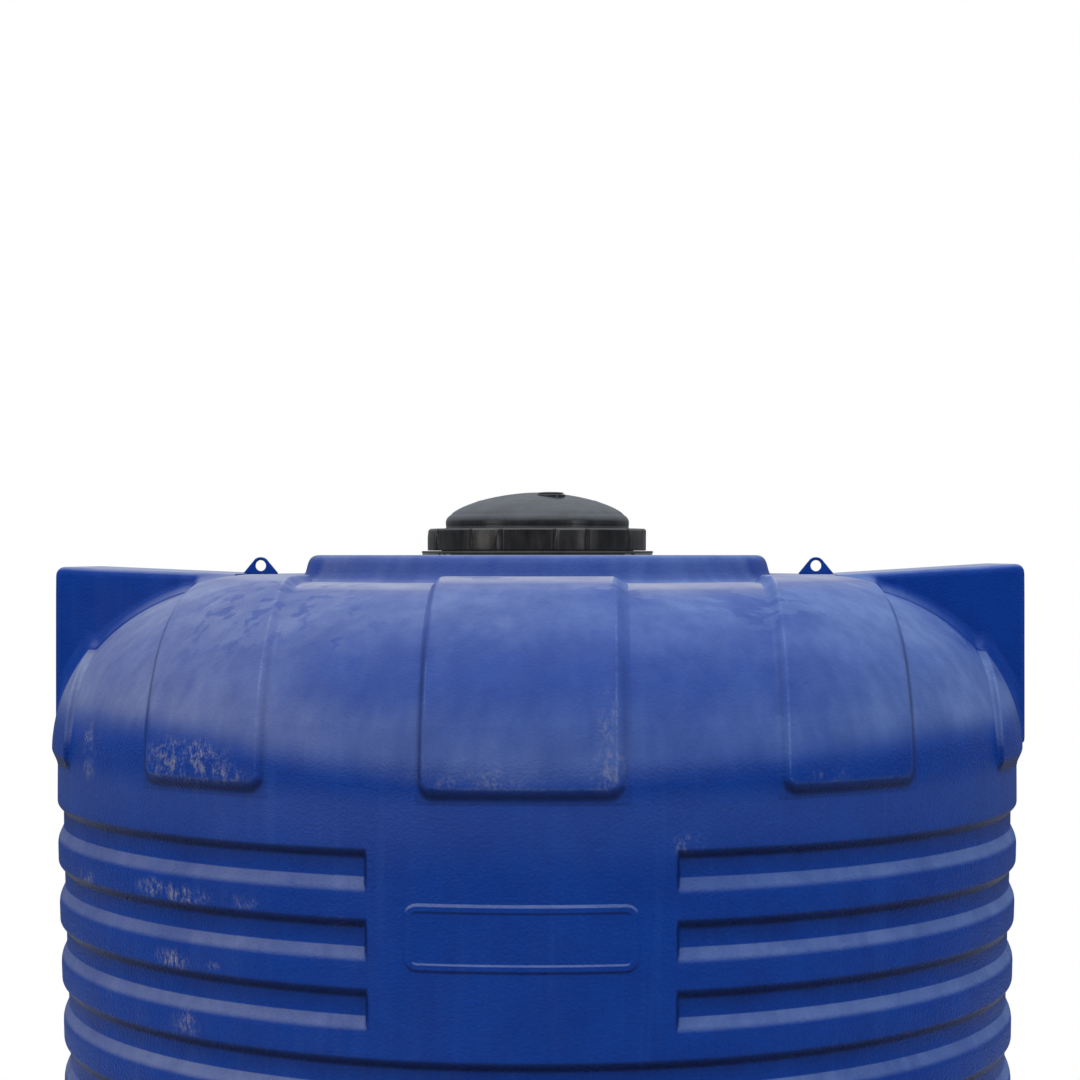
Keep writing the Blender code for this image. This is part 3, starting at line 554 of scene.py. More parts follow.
def moulding():
    cols = base_columns()
    rows = outer_rows()
    n, m = len(rows), len(cols)
    rr = np.array([r[0] for r in rows])[:, None]
    zz = np.array([r[1] for r in rows])[:, None]
    gk = np.array([r[2] for r in rows])[:, None]
    gd = np.array([r[3] for r in rows])[:, None]
    th = cols[None, :]
    off = np.abs((th + math.pi) % (2 * math.pi) - math.pi) - FRONT_HALF
    end_wall = G_DEPTH * smooth01(off * R / 0.015)
    depth = np.where((gk >= 0) & (gk < 3), np.minimum(gd, end_wall), gd)
    amp = smooth01((rr - 0.5 * R) / (0.3 * R))
    rad = rr - depth + wobble(th, zz) * amp - 0.0009 * amp
    P = np.stack([rad * np.sin(th), -rad * np.cos(th), zz + 0 * th], -1)
    # inside wall, coarser, joined at the manway's edge and closed at the base
    r_in = float(body_radius(H)) - G_DEPTH - 0.010
    inner = [(0.222, H - 0.012), (TURRET_R - 0.014, H - 0.012), (TURRET_R - 0.004, H - DECK_D - 0.012)]
    inner += [(R0 + (r_in - R0) * math.sin(t), ZC + (B0 - 0.012) * math.cos(t)) for t in np.linspace(0, math.pi / 2, 14)]
    inner += [(r_in, 2.4), (r_in, 1.6), (r_in, 0.8), (r_in, 0.07), (r_in - 0.02, 0.025), (r_in - 0.06, 0.014), (0.02, 0.014)]
    Q = np.stack([np.array([[r * math.sin(a), -r * math.cos(a), z] for a in cols]) for r, z in inner[1:]])
    full = np.concatenate([P[::-1], Q], 0)
    vv = np.array([r[3] for r in rows])[:, None]
    start = GROOVE_D0 + PITCH * np.maximum(gk, 0)
    v = (H - zz) - start
    # painted shade: a soft dark band just under each groove's top wall and a dark line along the short grooves' end
    # walls
    top_painted_shade = np.exp(-((v - 0.012) / 0.0105) ** 2) * (gk >= 0)
    end_painted_shade = np.exp(-((off * R - 0.0065) / 0.0050) ** 2) * np.clip(vv / G_DEPTH, 0, 1)
    fade = np.where((gk >= 0) & (gk < 3), smooth01(off * R / 0.010), 1.0)
    painted_shade = np.where((gk >= 0) & (gk < 3), np.maximum(top_painted_shade * fade, end_painted_shade), top_painted_shade)
    ob = strip("tank_moulding", full, wrap=True, angle=38)
    set_share(ob, "painted_shade", np.concatenate([painted_shade[::-1], np.zeros(Q.shape[:2])], 0))
    # close the base's small centre discs
    bm = bmesh.new()
    bm.from_mesh(ob.data)
    bm.verts.ensure_lookup_table()
    total = full.shape[0]
    bm.faces.new([bm.verts[j] for j in range(m)])
    bm.faces.new([bm.verts[(total - 1) * m + j] for j in range(m)][::-1])
    bmesh.ops.recalc_face_normals(bm, faces=bm.faces)
    bm.to_mesh(ob.data)
    bm.free()
    ob.data.shade_smooth()
    ob.data.set_sharp_from_angle(angle=math.radians(38))
    return ob, n, m


tank, _n, _m = moulding()
place(tank, "tank", M_BLUE, "tank_shell")


# ------------------------------------------------------------- shoulder belts
def fall(t):
    """1 on the belt's face, 0 at its foot: a crisp upper edge and a soft lower one."""
    t = np.clip(t, 0.0, 1.0)
    return 0.45 * (1 - t) + 0.55 * (1 - smooth01(t))


def foot_fall(z):
    """Belt height over its face height, near the belt's lower end."""
    return fall((H - 0.387 * R - z) / (0.030 * R))


def ring_radius(z, h):
    """Radius of the shoulder, raised by h, at height z."""
    hr = h * BELT_HR / BELT_H
    up = np.clip((z - ZC) / (B0 + h), 0.0, 1.0)
    dome = R0 + (A0 + hr) * np.sqrt(1 - up * up)
    wall = body_radius(H - z) + hr
    return np.where(z > ZC, dome, wall)


def hit(x, phi, h):
    """Distance from (y 0, z ZC) along an upward-forward ray to the shoulder raised by h, in the plane of x."""
    lo, hi = np.zeros_like(x + phi), np.full_like(x + phi, 2.0)
    for _ in range(44):
        t = (lo + hi) / 2
        y, z = t * np.sin(phi), t * np.cos(phi)
        rho = np.hypot(x, y)
        hr = h * BELT_HR / BELT_H
        inside = np.where(rho <= R0, z <= B0 + h, (np.maximum(rho - R0, 0) / (A0 + hr)) ** 2 + (z / (B0 + h)) ** 2 <= 1.0)
        lo, hi = np.where(inside, t, lo), np.where(inside, hi, t)
    return (lo + hi) / 2


def belt_share(x, z, x0, x1, f0, f1):
    """Share of the belt's height over a face from x0 to x1 with rounded lower corners and flanks f0 and f1 wide."""
    rc, fz = 0.013 * R, 0.027 * R
    mid, half = (x0 + x1) / 2, (x1 - x0) / 2
    ex, ez = np.abs(x - mid) - half, (H - 0.3885 * R) - z
    px, pz = np.maximum(ex + rc, 0), np.maximum(ez + rc, 0)
    sd = np.hypot(px, pz) + np.minimum(np.maximum(ex + rc, ez + rc), 0) - rc
    w = pz ** 2 / np.maximum(px ** 2 + pz ** 2, 1e-12)
    w = np.where(ez < -rc, 0.0, w)
    f = np.where(x < mid, f0, f1) * (1 - w) + fz * w
    return fall(sd / f)


def belt_columns(x0, x1, f0, f1):
    """x stations across a belt, close together on its flanks and just inside them, with a sunk skirt either side."""
    inner = [0.004, 0.008, 0.013, 0.020]
    a = [x0 - f0 - 0.004] + list(x0 - f0 + f0 * np.linspace(0, 1, 9)) + [x0 + v for v in inner]
    a += list(np.linspace(x0 + 0.03, x1 - 0.03, 12)) + [x1 - v for v in inner[::-1]] + list(x1 + f1 * np.linspace(0, 1, 9)) + [x1 + f1 + 0.004]
    a = np.array(a)
    sink = np.zeros_like(a)
    sink[[0, -1]] = -0.0022
    return a, sink


def belt(name, x0, x1, f0, f1, ends):
    """One strap over the shoulder. ends: -1 front only, 1 back only, 0 the whole way over."""
    xs, sink = belt_columns(x0, x1, f0, f1)
    full = belt_share(xs, np.full_like(xs, H - 0.2 * R), x0, x1, f0, f1)
    z_switch = H - 0.362 * R
    z_low = np.concatenate([np.linspace(H - 0.3655 * R, H - 0.382 * R, 6), np.linspace(H - 0.3845 * R, H - 0.4165 * R, 15), [H - 0.422 * R]])
    phi_max = math.atan2(0.985 * R, z_switch - ZC)
    start = 0.0 if ends == 0 else math.atan2(0.44 * R, B0)
    phis = np.linspace(start, phi_max, 96 if ends else 128)
    X, PH = np.meshgrid(xs, phis)
    T = hit(X, PH, BELT_H * full[None, :] + sink[None, :] + 0 * PH)
    Y, Z = T * np.sin(PH), T * np.cos(PH) + ZC
    keep = Z[:, len(xs) // 2] > z_switch
    Y, Z, Xk = Y[keep], Z[keep], X[keep]
    ys, zs, xk, sh = [Y], [Z], [Xk], [np.broadcast_to(full, Y.shape)]
    for z in z_low:
        zz = np.full_like(xs, z)
        share = belt_share(xs, zz, x0, x1, f0, f1)
        rho = ring_radius(zz, BELT_H * share + sink - (0.0022 if z < H - 0.420 * R else 0.0))
        ys.append(np.sqrt(np.maximum(rho ** 2 - xs ** 2, 0))[None])
        zs.append(zz[None])
        xk.append(xs[None])
        sh.append(share[None])
    Y, Z, Xa, S = np.concatenate(ys), np.concatenate(zs), np.concatenate(xk), np.concatenate(sh)
    th = np.arctan2(Xa, Y)
    k = 1 + wobble(th, Z) * 0.8 / np.maximum(np.hypot(Xa, Y), 0.3)
    front = np.stack([Xa * k, -Y * k, Z], -1)
    # edge wear and painted edge highlight just inside the belt's upper rim
    edge = np.exp(-((S - 0.93) / 0.055) ** 2) * (S < 0.9995)
    # painted shade along the flanks, stronger on the narrow ones, and under the belt's lower end
    narrow = np.where(Xa < (x0 + x1) / 2, 0.75 if f0 < 0.016 * R else 0.28, 0.75 if f1 < 0.016 * R else 0.28)
    narrow = np.where(Z < H - 0.386 * R, 0.80, narrow)
    painted_shade = narrow * np.exp(-((S - 0.35) / 0.30) ** 2) * (S < 0.9995) * smooth01((H - 0.10 * R - Z) / 0.15)
    mirror = front.copy()
    mirror[..., 1] *= -1
    if ends == 0:
        P, E, D = np.concatenate([mirror[1:][::-1], front]), np.concatenate([edge[1:][::-1], edge]), np.concatenate([painted_shade[1:][::-1], painted_shade])
    elif ends < 0:
        P, E, D = front, edge, painted_shade
    else:
        P, E, D = mirror[::-1], edge[::-1], painted_shade[::-1]
    return thicken(set_share(set_wear_and_highlight(strip(name, P, angle=50), E), "painted_shade", D), (0, 0, ZC))


F = 0.020 * R
place(belt("belt_centre_front", -0.163 * R, 0.157 * R, 0.0135 * R, 0.026 * R, -1), "tank", M_BLUE, slot="blue_pe")
place(belt("belt_centre_back", -0.160 * R, 0.160 * R, F, F, 1), "tank", M_BLUE, slot="blue_pe")
place(belt("belt_right", 0.460 * R, 0.684 * R, 0.022 * R, 0.012 * R, 0), "tank", M_BLUE, slot="blue_pe")
place(belt("belt_left", -0.679 * R, -0.465 * R, 0.012 * R, 0.023 * R, 0), "tank", M_BLUE, slot="blue_pe")


def side_belt(name, side):
    """The outermost strap: from its front inner edge round the side, under the shoulder block, to the back."""
    xf, fl = 0.898 * R, 0.0085 * R
    foot = xf - fl
    lo, hi = ZC, H - DECK_D
    for _ in range(40):
        mid = (lo + hi) / 2
        if float(ring_radius(np.array(mid), 0.0)) > foot + 0.002:
            lo = mid
        else:
            hi = mid
    zs = np.concatenate([np.linspace(lo, H - 0.372 * R, 44), np.linspace(H - 0.375 * R, H - 0.386 * R, 4), np.linspace(H - 0.3865 * R, H - 0.4175 * R, 13), [H - 0.424 * R]])
    P, D = [], []
    for z in zs:
        low_sink = 0.0022 if z < H - 0.420 * R else 0.0
        g = float(foot_fall(np.array(z)))
        rho0 = float(ring_radius(np.array(z), 0.0))
        last = min(xf, rho0 - 0.0002)
        th = [math.asin(min(v / rho0, 1.0)) for v in np.linspace(foot, last, 10)]
        first = math.asin(min((foot - 0.004) / rho0, 1.0))
        rest = np.linspace(th[-1], math.pi / 2, 20)[1:]
        th = np.array([first] + th + list(rest))
        x = rho0 * np.sin(th)
        for _k in range(4):
            share = np.where(x < xf, fall((xf - x) / fl), 1.0) * g
            h = BELT_H * share - low_sink
            h[0] = -0.0022
            rho = ring_radius(np.full_like(x, z), h)
            x = rho * np.sin(th)
        rho = rho + wobble(th, z) * 0.8
        row = np.stack([side * rho * np.sin(th), -rho * np.cos(th), np.full_like(x, z)], -1)
        back = row[:-1][::-1].copy()
        back[:, 1] *= -1
        P.append(np.concatenate([row, back]))
        # painted shade over the flank and under the strap's lower end
        d = 0.55 * np.exp(-((share / max(g, 0.01) - 0.45) / 0.35) ** 2) * (share < 0.999)
        d = np.maximum(d, 0.8 * math.exp(-((g - 0.35) / 0.30) ** 2) * (g < 0.9995))
        D.append(np.concatenate([d, d[:-1][::-1]]))
    return thicken(set_share(strip(name, np.array(P), flip=side > 0, angle=50), "painted_shade", np.array(D)), (0, 0, ZC))


for side, word in ((-1, "left"), (1, "right")):
    place(side_belt("belt_side_" + word, side), "tank", M_BLUE, slot="blue_pe")


# ------------------------------------------------------------ shoulder blocks
def straps(x):
    ax = np.abs(x) / R
    f = 0.018
    mid = np.where(ax < 0.46, fall((0.46 - ax) / f), np.where(ax > 0.683, fall((ax - 0.683) / 0.014), 1.0))
    cen = fall((ax - 0.16) / f)
    out = np.where(ax < 0.905, fall((0.905 - ax) / f), 1.0)
    return np.maximum(np.maximum(mid, cen), out)


def above_dome(x, y, z):
    """Approximate distance outside the shoulder's surface, belts included."""
    h = BELT_H * straps(x) * foot_fall(z)
    rho = np.hypot(x, y)
    a, b = A0 + h * BELT_HR / BELT_H, B0 + h
    dr, dz = np.maximum(rho - R0, 1e-6), np.maximum(z - ZC, 0.0)
    q = np.hypot(dr / a, dz / b)
    dome = np.hypot(dr, dz) * (1 - 1 / np.maximum(q, 1e-6))
    flat = z - (ZC + b)
    return np.where(rho < R0, flat, np.where(z > ZC, dome, rho - (R0 + a)))


def block(name, side):
    XW = (0.9885 if side > 0 else 0.9790) * R
    lift = 0.008 if side > 0 else 0.0
    fillet, round_top, round_side, corner = 0.026, 0.020, 0.013, 0.022
    cx, cz = 0.560 * R, H - 0.410 * R

    def outside(x, z):
        ztop = H - 0.0234 * R + lift - (XW - x) * (0.0422 + lift / 0.4)
        xout = XW - 0.030 * R * smooth01((H - 0.372 * R - z) / (0.034 * R))
        sx, sz = x - xout, z - ztop
        inner = np.minimum(np.maximum(sx + corner, sz + corner), 0)
        return np.hypot(np.maximum(sx + corner, 0), np.maximum(sz + corner, 0)) + inner - corner

    def bisect(test, lo, hi):
        for _ in range(44):
            mid = (lo + hi) / 2
            inside = test(mid)
            lo, hi = np.where(inside, mid, lo), np.where(inside, hi, mid)
        return (lo + hi) / 2

    corner_phi = math.atan2(XW - cx, 0.0234 * R * -1 + 0.410 * R)
    phi = np.concatenate([np.linspace(math.radians(8.0), corner_phi - 0.13, 34), np.linspace(corner_phi - 0.12, corner_phi + 0.12, 22), np.linspace(corner_phi + 0.13, math.radians(92), 34)])
    sx, cz_ = np.sin(phi), np.cos(phi)
    t_out = bisect(lambda t: outside(cx + t * sx, cz + t * cz_) < 0, np.zeros_like(phi), np.full_like(phi, 2.0))
    t_in = bisect(lambda t: above_dome(cx + t * sx, -(YW + fillet), cz + t * cz_) < -0.003, np.zeros_like(phi), np.full_like(phi, 2.0))
    t_in = np.minimum(t_in, t_out - 0.004)
    span = t_out - t_in
    near = np.minimum(0.036, span * 0.45)
    edge = np.minimum(0.040, span * 0.45)
    cols = []
    for s in np.linspace(0, 1, 9):
        cols.append(t_in + near * s)
    for s in np.linspace(0, 1, 8)[1:-1]:
        cols.append(t_in + near + (span - near - edge) * s)
    for s in (0, 0.15, 0.30, 0.45, 0.58, 0.70, 0.80, 0.88, 0.94, 0.98, 1.0):
        cols.append(t_out - edge * (1 - s))
    T = np.stack(cols, 1)
    X = cx + T * sx[:, None]
    Z = cz + T * cz_[:, None]
    w = np.maximum(-outside(X, Z), 0.0)
    blend = smooth01((phi - corner_phi + 0.10) / 0.20)[:, None]
    re = round_top * (1 - blend) + round_side * blend + 0 * X
    rnd = np.where(w < re, re - np.sqrt(np.maximum(re ** 2 - (re - w) ** 2, 0)), 0.0)
    y = np.full_like(X, YW)
    for _ in range(8):
        d = np.maximum(above_dome(X, y, Z), 0.0)
        fil = fillet * np.maximum(1 - d / fillet, 0.0) ** 2
        y = YW + fil
    fil = fil * smooth01(w / 0.030)
    # a slight hollow in the moulded face
    sag = 0.0022 * smooth01(w / 0.12) * smooth01(above_dome(X, YW, Z) / 0.10)
    Y = YW + fil - rnd - sag
    front = np.stack([side * X, -Y, Z], -1)
    back = np.stack([side * X, Y, Z], -1)[:, ::-1]
    y_edge = Y[:, -1:]
    mids = []
    for s in (-0.6, -0.2, 0.2, 0.6):
        mids.append(np.stack([side * X[:, -1:], y_edge * s, Z[:, -1:]], -1))
    P = np.concatenate([front] + mids + [back], 1)
    return thicken(strip(name, P, flip=side > 0, angle=50), (side * 0.80 * R, 0, H - 0.20 * R))


place(block("shoulder_block_left", -1), "tank", M_BLUE, slot="blue_pe")
place(block("shoulder_block_right", 1), "tank", M_BLUE, slot="blue_pe")


# ------------------------------------------------------- blank plate outline
def plate():
    half_u, half_v, rc, ridge = math.radians(11.65) * 0.985 * R, 0.0585 * R, 0.028, 0.011
    zc = H - 0.6435 * R
    us = np.concatenate([np.linspace(-half_u - 0.003, -half_u + 0.036, 26), np.linspace(-half_u + 0.05, half_u - 0.05, 60), np.linspace(half_u - 0.036, half_u + 0.003, 26)])
    vs = np.concatenate([np.linspace(-half_v - 0.003, -half_v + 0.036, 26), np.linspace(-half_v + 0.045, half_v - 0.045, 5), np.linspace(half_v - 0.036, half_v + 0.003, 26)])
    U, V = np.meshgrid(us, vs)
    qx, qy = np.abs(U) - half_u + rc, np.abs(V) - half_v + rc
    sd = np.hypot(np.maximum(qx, 0), np.maximum(qy, 0)) + np.minimum(np.maximum(qx, qy), 0) - rc
    up = 0.0030 * smooth01(-sd / 0.007) * (1 - smooth01((-sd - ridge - 0.003) / 0.007)) + 0.0008 * smooth01((-sd - ridge) / 0.01)
    up = np.where(sd > 0.0, -0.0015, up)
    Z = zc - V
    base = body_radius(H - Z)
    th = U / (0.985 * R)
    rad = base - 0.0009 + wobble(th, Z) + up + 0.0002
    P = np.stack([rad * np.sin(th), -rad * np.cos(th), Z], -1)
    return thicken(strip("blank_plate", P, angle=60), (0, 0, zc))


place(plate(), "tank", M_BLUE, slot="blue_pe")


# -------------------------------------------------------------- lifting lugs
def lug(name, side):
    lo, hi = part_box(name)
    w, t = (hi.x - lo.x) / 2, (hi.y - lo.y) / 2
    h = hi.z - lo.z
    head, eye, cz = 0.0215, 0.0138, h - 0.0215
    phi = math.atan2(-cz, w - 0.004)
    t0 = phi + math.acos(head / math.hypot(w - 0.004, cz))
    outline = [(-w, 0.0), (w, 0.0), (w, 0.003)]
    outline += [(head * math.cos(a), cz + head * math.sin(a)) for a in np.linspace(t0, math.pi - t0, 40)]
    outline += [(-w, 0.003)]
    bm = bmesh.new()
    loops = []
    for y in (-t, t):
        o = [bm.verts.new((x, y, z)) for x, z in outline]
        e = [bm.verts.new((eye * math.cos(a), y, cz + eye * math.sin(a))) for a in np.linspace(0, 2 * math.pi, 49)[:-1]]
        loops.append((o, e))
        edges = []
        for loop in (o, e):
            for i in range(len(loop)):
                edges.append(bm.edges.new((loop[i], loop[(i + 1) % len(loop)])))
        bmesh.ops.triangle_fill(bm, use_beauty=True, use_dissolve=False, edges=edges)
    for k in (0, 1):
        a, b = loops[0][k], loops[1][k]
        for i in range(len(a)):
            j = (i + 1) % len(a)
            bm.faces.new((a[i], a[j], b[j], b[i]))
    bmesh.ops.recalc_face_normals(bm, faces=bm.faces)
    rims = [e for e in bm.edges if len(e.link_faces) == 2 and abs(e.link_faces[0].normal.dot(e.link_faces[1].normal)) < 0.3 and abs(e.verts[0].co.y - e.verts[1].co.y) < 1e-6]
    bmesh.ops.bevel(bm, geom=rims, offset=0.0016, segments=3, profile=0.5, affect="EDGES", clamp_overlap=True)
    me = bpy.data.meshes.new(name + "_plate")
    bm.to_mesh(me)
    bm.free()
    me.shade_smooth()
    me.set_sharp_from_angle(angle=math.radians(40))
    me.transform(Matrix.Translation(((lo.x + hi.x) / 2, 0, lo.z)))
    ob = bpy.data.objects.new(name + "_plate", me)
    scene.collection.objects.link(ob)
    return ob


for side, word in ((-1, "left"), (1, "right")):
    place(lug("lifting_lug_" + word, side), "tank", M_BLUE, "lifting_lug_" + word)


# -------------------------------------------------------------------- manway
UPZ = Matrix.Translation((0, 0, H))


def threads(r, z, a, z0, z1, pitch, high, phase=0.0):
    """Radius with a helical ridge between two heights."""
    if z < z0 or z > z1:
        return r
    s = ((z - z0) / pitch - a / (2 * math.pi) + phase) % 1.0
    ends = min((z - z0) / 0.004, (z1 - z) / 0.004, 1.0)
    return r + high * max(0.0, 1 - abs(s - 0.5) / 0.28) ** 0.8 * max(ends, 0.0)


neck = [(0.2115, -0.030), (0.2195, -0.030), (0.2195, 0.0036), (0.2903, 0.0036), (0.2918, 0.0050), (0.2910, 0.0100), (0.2420, 0.0100)]
neck += [(0.2420, 0.0100 + 0.0016 * k) for k in range(1, 24)] + [(0.2420, 0.0482), (0.2400, 0.0502), (0.2115, 0.0502)]


def neck_warp(r, z, a):
    if abs(r - 0.2420) < 1e-4 and 0.0105 < z < 0.0475:
        return threads(r, z, a, 0.014, 0.047, 0.0105, 0.0036), z
    return r, z


collar = turn("manway_neck", neck, 160, 0.0009, 3, warp=neck_warp, matrix=UPZ)
place(collar, "tank", M_COLLAR, "manway_collar")
place(turn("manway_gasket_ring", [(0.2230, 0.0003), (0.2900, 0.0003), (0.2904, 0.0018), (0.2900, 0.0033), (0.2230, 0.0033)], 128, 0.0005, 2, matrix=UPZ), "tank", M_RUBBER, "manway_gasket")

for k in range(8):
    node = "manway_screw_%02d" % (k + 1)
    lo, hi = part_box(node)
    c = ((lo.x + hi.x) / 2, (lo.y + hi.y) / 2)
    head = turn(node + "_csk", [(0, -0.0240), (0.0020, -0.0240), (0.0030, -0.0200), (0.0031, 0.0050), (0.0078, 0.0096), (0.0030, 0.0096), (0.0026, 0.0068), (0, 0.0068)], 28, 0.0003, 2, matrix=Matrix.Translation((c[0], c[1], H)))
    place(head, "tank", M_STEEL, node)


# ----------------------------------------------------------------------- lid
def ring_warp(r, z, a):
    """Eight grip lobes with soft flanks on the outside of the screw ring."""
    if r < 0.262:
        return r, z
    off = (math.degrees(a) + 26.0 + 90.0 + 22.5) % 45.0 - 22.5
    lobe = float(1 - smooth01((abs(off) - 6.6) / 1.0))
    notch = float(smooth01(1 - abs(abs(off) - 8.7) / 1.5)) * 0.0050
    bay = -0.0012 * max(0.0, 1 - ((abs(off) - 22.5) / 12.0) ** 2)
    fade = float(smooth01((0.0640 - z) / 0.006)) * 0.85 + 0.15
    return r + (0.0046 * lobe - notch + bay) * fade, z


ring_prof = [(0.2470, 0.0112), (0.2738, 0.0112), (0.2752, 0.0130), (0.2752, 0.0280), (0.2752, 0.0440), (0.2752, 0.0612), (0.2712, 0.0657), (0.2318, 0.0657), (0.2318, 0.0600), (0.2470, 0.0600)]
place(turn("screw_ring", ring_prof, 720, 0.0012, 4, warp=ring_warp, matrix=UPZ, angle=40), "screw_ring", M_RING, "lid_ring")


def lid_height(r):
    t = np.clip(r / 0.2312, 0, 1)
    return 0.0834 + 0.0745 * (1 - t ** 1.75) ** (1 / 1.75)


def lid_dome():
    out = []
    for s in np.linspace(0, 1, 44):
        r = 0.2312 * math.sin(math.pi / 2 * s)
        h = float(lid_height(r))
        out.append((r, h))
    pts = list(out)
    pts += [(0.2312, 0.0760), (0.2306, 0.0742), (0.2306, 0.0700), (0.2312, 0.0680), (0.2312, 0.0603), (0.2440, 0.0597), (0.2440, 0.0545), (0.2262, 0.0545), (0.2262, 0.0760)]
    for s in np.linspace(1, 0, 30):
        r = 0.2262 * math.sin(math.pi / 2 * s)
        pts.append((r, float(lid_height(r * 0.2312 / 0.2262)) - 0.005))
    vx, vy = vent_at

    def warp(r, z, a):
        x, y = r * math.cos(a), r * math.sin(a)
        if z > 0.09:
            # a low arc-shaped rib either side of the middle, and the concentric crease of the cap
            z += 0.0011 * math.exp(-((r - 0.150) / 0.0035) ** 2)
        if z > 0.083 and r > 0.19:
            z -= 0.0016 * math.exp(-((r - 0.2190) / 0.0040) ** 2)
        return r, z
    ob = turn("dome_cap", pts, 192, 0.0006, 2, warp=warp, angle=30, matrix=UPZ)
    return ob


vlo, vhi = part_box("vent_cap")
vent_at = ((vlo.x + vhi.x) / 2, (vlo.y + vhi.y) / 2)
vz = float(lid_height(math.hypot(*vent_at)))
dome = lid_dome()
VENT = Matrix.Translation((vent_at[0], vent_at[1], H))
boss = turn("boss_tool", [(0, vz - 0.014), (0.0345, vz - 0.014), (0.0360, vz - 0.012), (0.0362, vz + 0.0000), (0.0348, vz + 0.0012), (0, vz + 0.0012)], 72, 0.0005, 2, matrix=VENT)
cut(dome, boss, "UNION")
cut(dome, turn("seat_tool", [(0, vz + 0.0012), (0.0335, vz + 0.0012), (0.0335, vz + 0.03), (0, vz + 0.03)], 72, 0, 1, matrix=VENT))
cut(dome, turn("bore_tool", [(0, vz - 0.04), (0.0124, vz - 0.04), (0.0124, vz + 0.02), (0, vz + 0.02)], 48, 0, 1, matrix=VENT))
place(dome, "lid", M_BLACK, "lid_dome")
place(turn("seal_ring", [(0.2135, 0.0505), (0.2410, 0.0505), (0.2410, 0.0542), (0.2135, 0.0542)], 128, 0.0012, 3, matrix=UPZ), "lid", M_RUBBER, "lid_seal")
top = vz + 0.0012


def cap_warp(r, z, a):
    if r > 0.029:
        r += 0.0003 * math.cos(36 * a)
    return r, z


place(turn("breather_cap", [(0, top + 0.0030), (0.0225, top + 0.0030), (0.0285, top + 0.0012), (0.0314, top + 0.0012), (0.0319, top + 0.0026), (0.0290, top + 0.0046), (0.0180, top + 0.0056), (0.0120, top + 0.0056), (0.0110, top + 0.0050), (0, top + 0.0050)], 144, 0.0009, 3, warp=cap_warp, matrix=VENT), "lid", M_BLACK, "vent_cap")
place(turn("breather_stem", [(0.0085, top - 0.040), (0.0105, top - 0.040), (0.0120, top - 0.038)] + [(0.0117 + 0.0003 * (k % 2), top - 0.037 + 0.0012 * k) for k in range(28)] + [(0.0120, top + 0.0003), (0.0200, top + 0.0003), (0.0200, top + 0.0010), (0.0110, top + 0.0010), (0.0110, top + 0.0028), (0.0085, top + 0.0028)], 48, 0.0002, 2, matrix=VENT), "lid", M_BLACK, "vent_body")


def hex_warp(flats, least):
    def w(r, z, a):
        if r < least:
            return r, z
        sixth = (a + math.pi / 6) % (math.pi / 3) - math.pi / 6
        return min(flats / math.cos(sixth), r), z
    return w


place(turn("breather_nut", [(0.0127, top - 0.0230), (0.0205, top - 0.0230), (0.0219, top - 0.0218), (0.0219, top - 0.0168), (0.0205, top - 0.0156), (0.0127, top - 0.0156)], 96, 0.0004, 2, warp=hex_warp(0.0190, 0.018), matrix=VENT), "lid", M_BLACK, "vent_nut")
dress(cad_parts["vent_screen"], M_STEEL)


# -------------------------------------------------------------------- outlet
OUT_Z = 0.150
BALL_Y = 1.279
LIE = Matrix.Translation((0, 0, OUT_Z)) @ Matrix.Rotation(math.radians(90), 4, "X")
STAND = Matrix.Translation((0, -BALL_Y, OUT_Z))
face = 1.182


def boss_pad():
    bm = bmesh.new()
    made = bmesh.ops.create_cube(bm, size=1.0)["verts"]
    lo, hi = Vector((-0.115, -face, 0.062)), Vector((0.115, -1.150, 0.238))
    for v in made:
        v.co = Vector([lo[i] + (v.co[i] + 0.5) * (hi[i] - lo[i]) for i in range(3)])
    upright = [e for e in bm.edges if abs(e.verts[0].co.y - e.verts[1].co.y) > 0.01]
    bmesh.ops.bevel(bm, geom=upright, offset=0.030, segments=8, profile=0.5, affect="EDGES")
    front = [e for e in bm.edges if all(v.co.y < -face + 1e-6 for v in e.verts)]
    bmesh.ops.bevel(bm, geom=front, offset=0.006, segments=4, profile=0.5, affect="EDGES")
    me = bpy.data.meshes.new("outlet_boss")
    bm.to_mesh(me)
    bm.free()
    me.shade_smooth()
    me.set_sharp_from_angle(angle=math.radians(35))
    ob = bpy.data.objects.new("outlet_boss", me)
    scene.collection.objects.link(ob)
    return ob


pad = boss_pad()
cut(pad, turn("bore_a", [(0, 1.0), (0.0345, 1.0), (0.0345, 1.3), (0, 1.3)], 64, 0, 1, matrix=LIE))
place(pad, "tank", M_BLUE, slot="blue_pe")
cut(tank, turn("bore_b", [(0, 1.0), (0.0345, 1.0), (0.0345, 1.3), (0, 1.3)], 64, 0, 1, matrix=LIE))
tank.data.set_sharp_from_angle(angle=math.radians(38))

place(turn("outlet_gasket_ring", [(0.0348, face + 0.0003), (0.0600, face + 0.0003), (0.0600, face + 0.0033), (0.0348, face + 0.0033)], 96, 0.0008, 3, matrix=LIE), "tank", M_RUBBER, "outlet_gasket")


def six_lobes(r, z, a):
    if r > 0.055:
        r -= 0.0016 * (0.5 + 0.5 * math.cos(6 * a)) ** 3
    return r, z


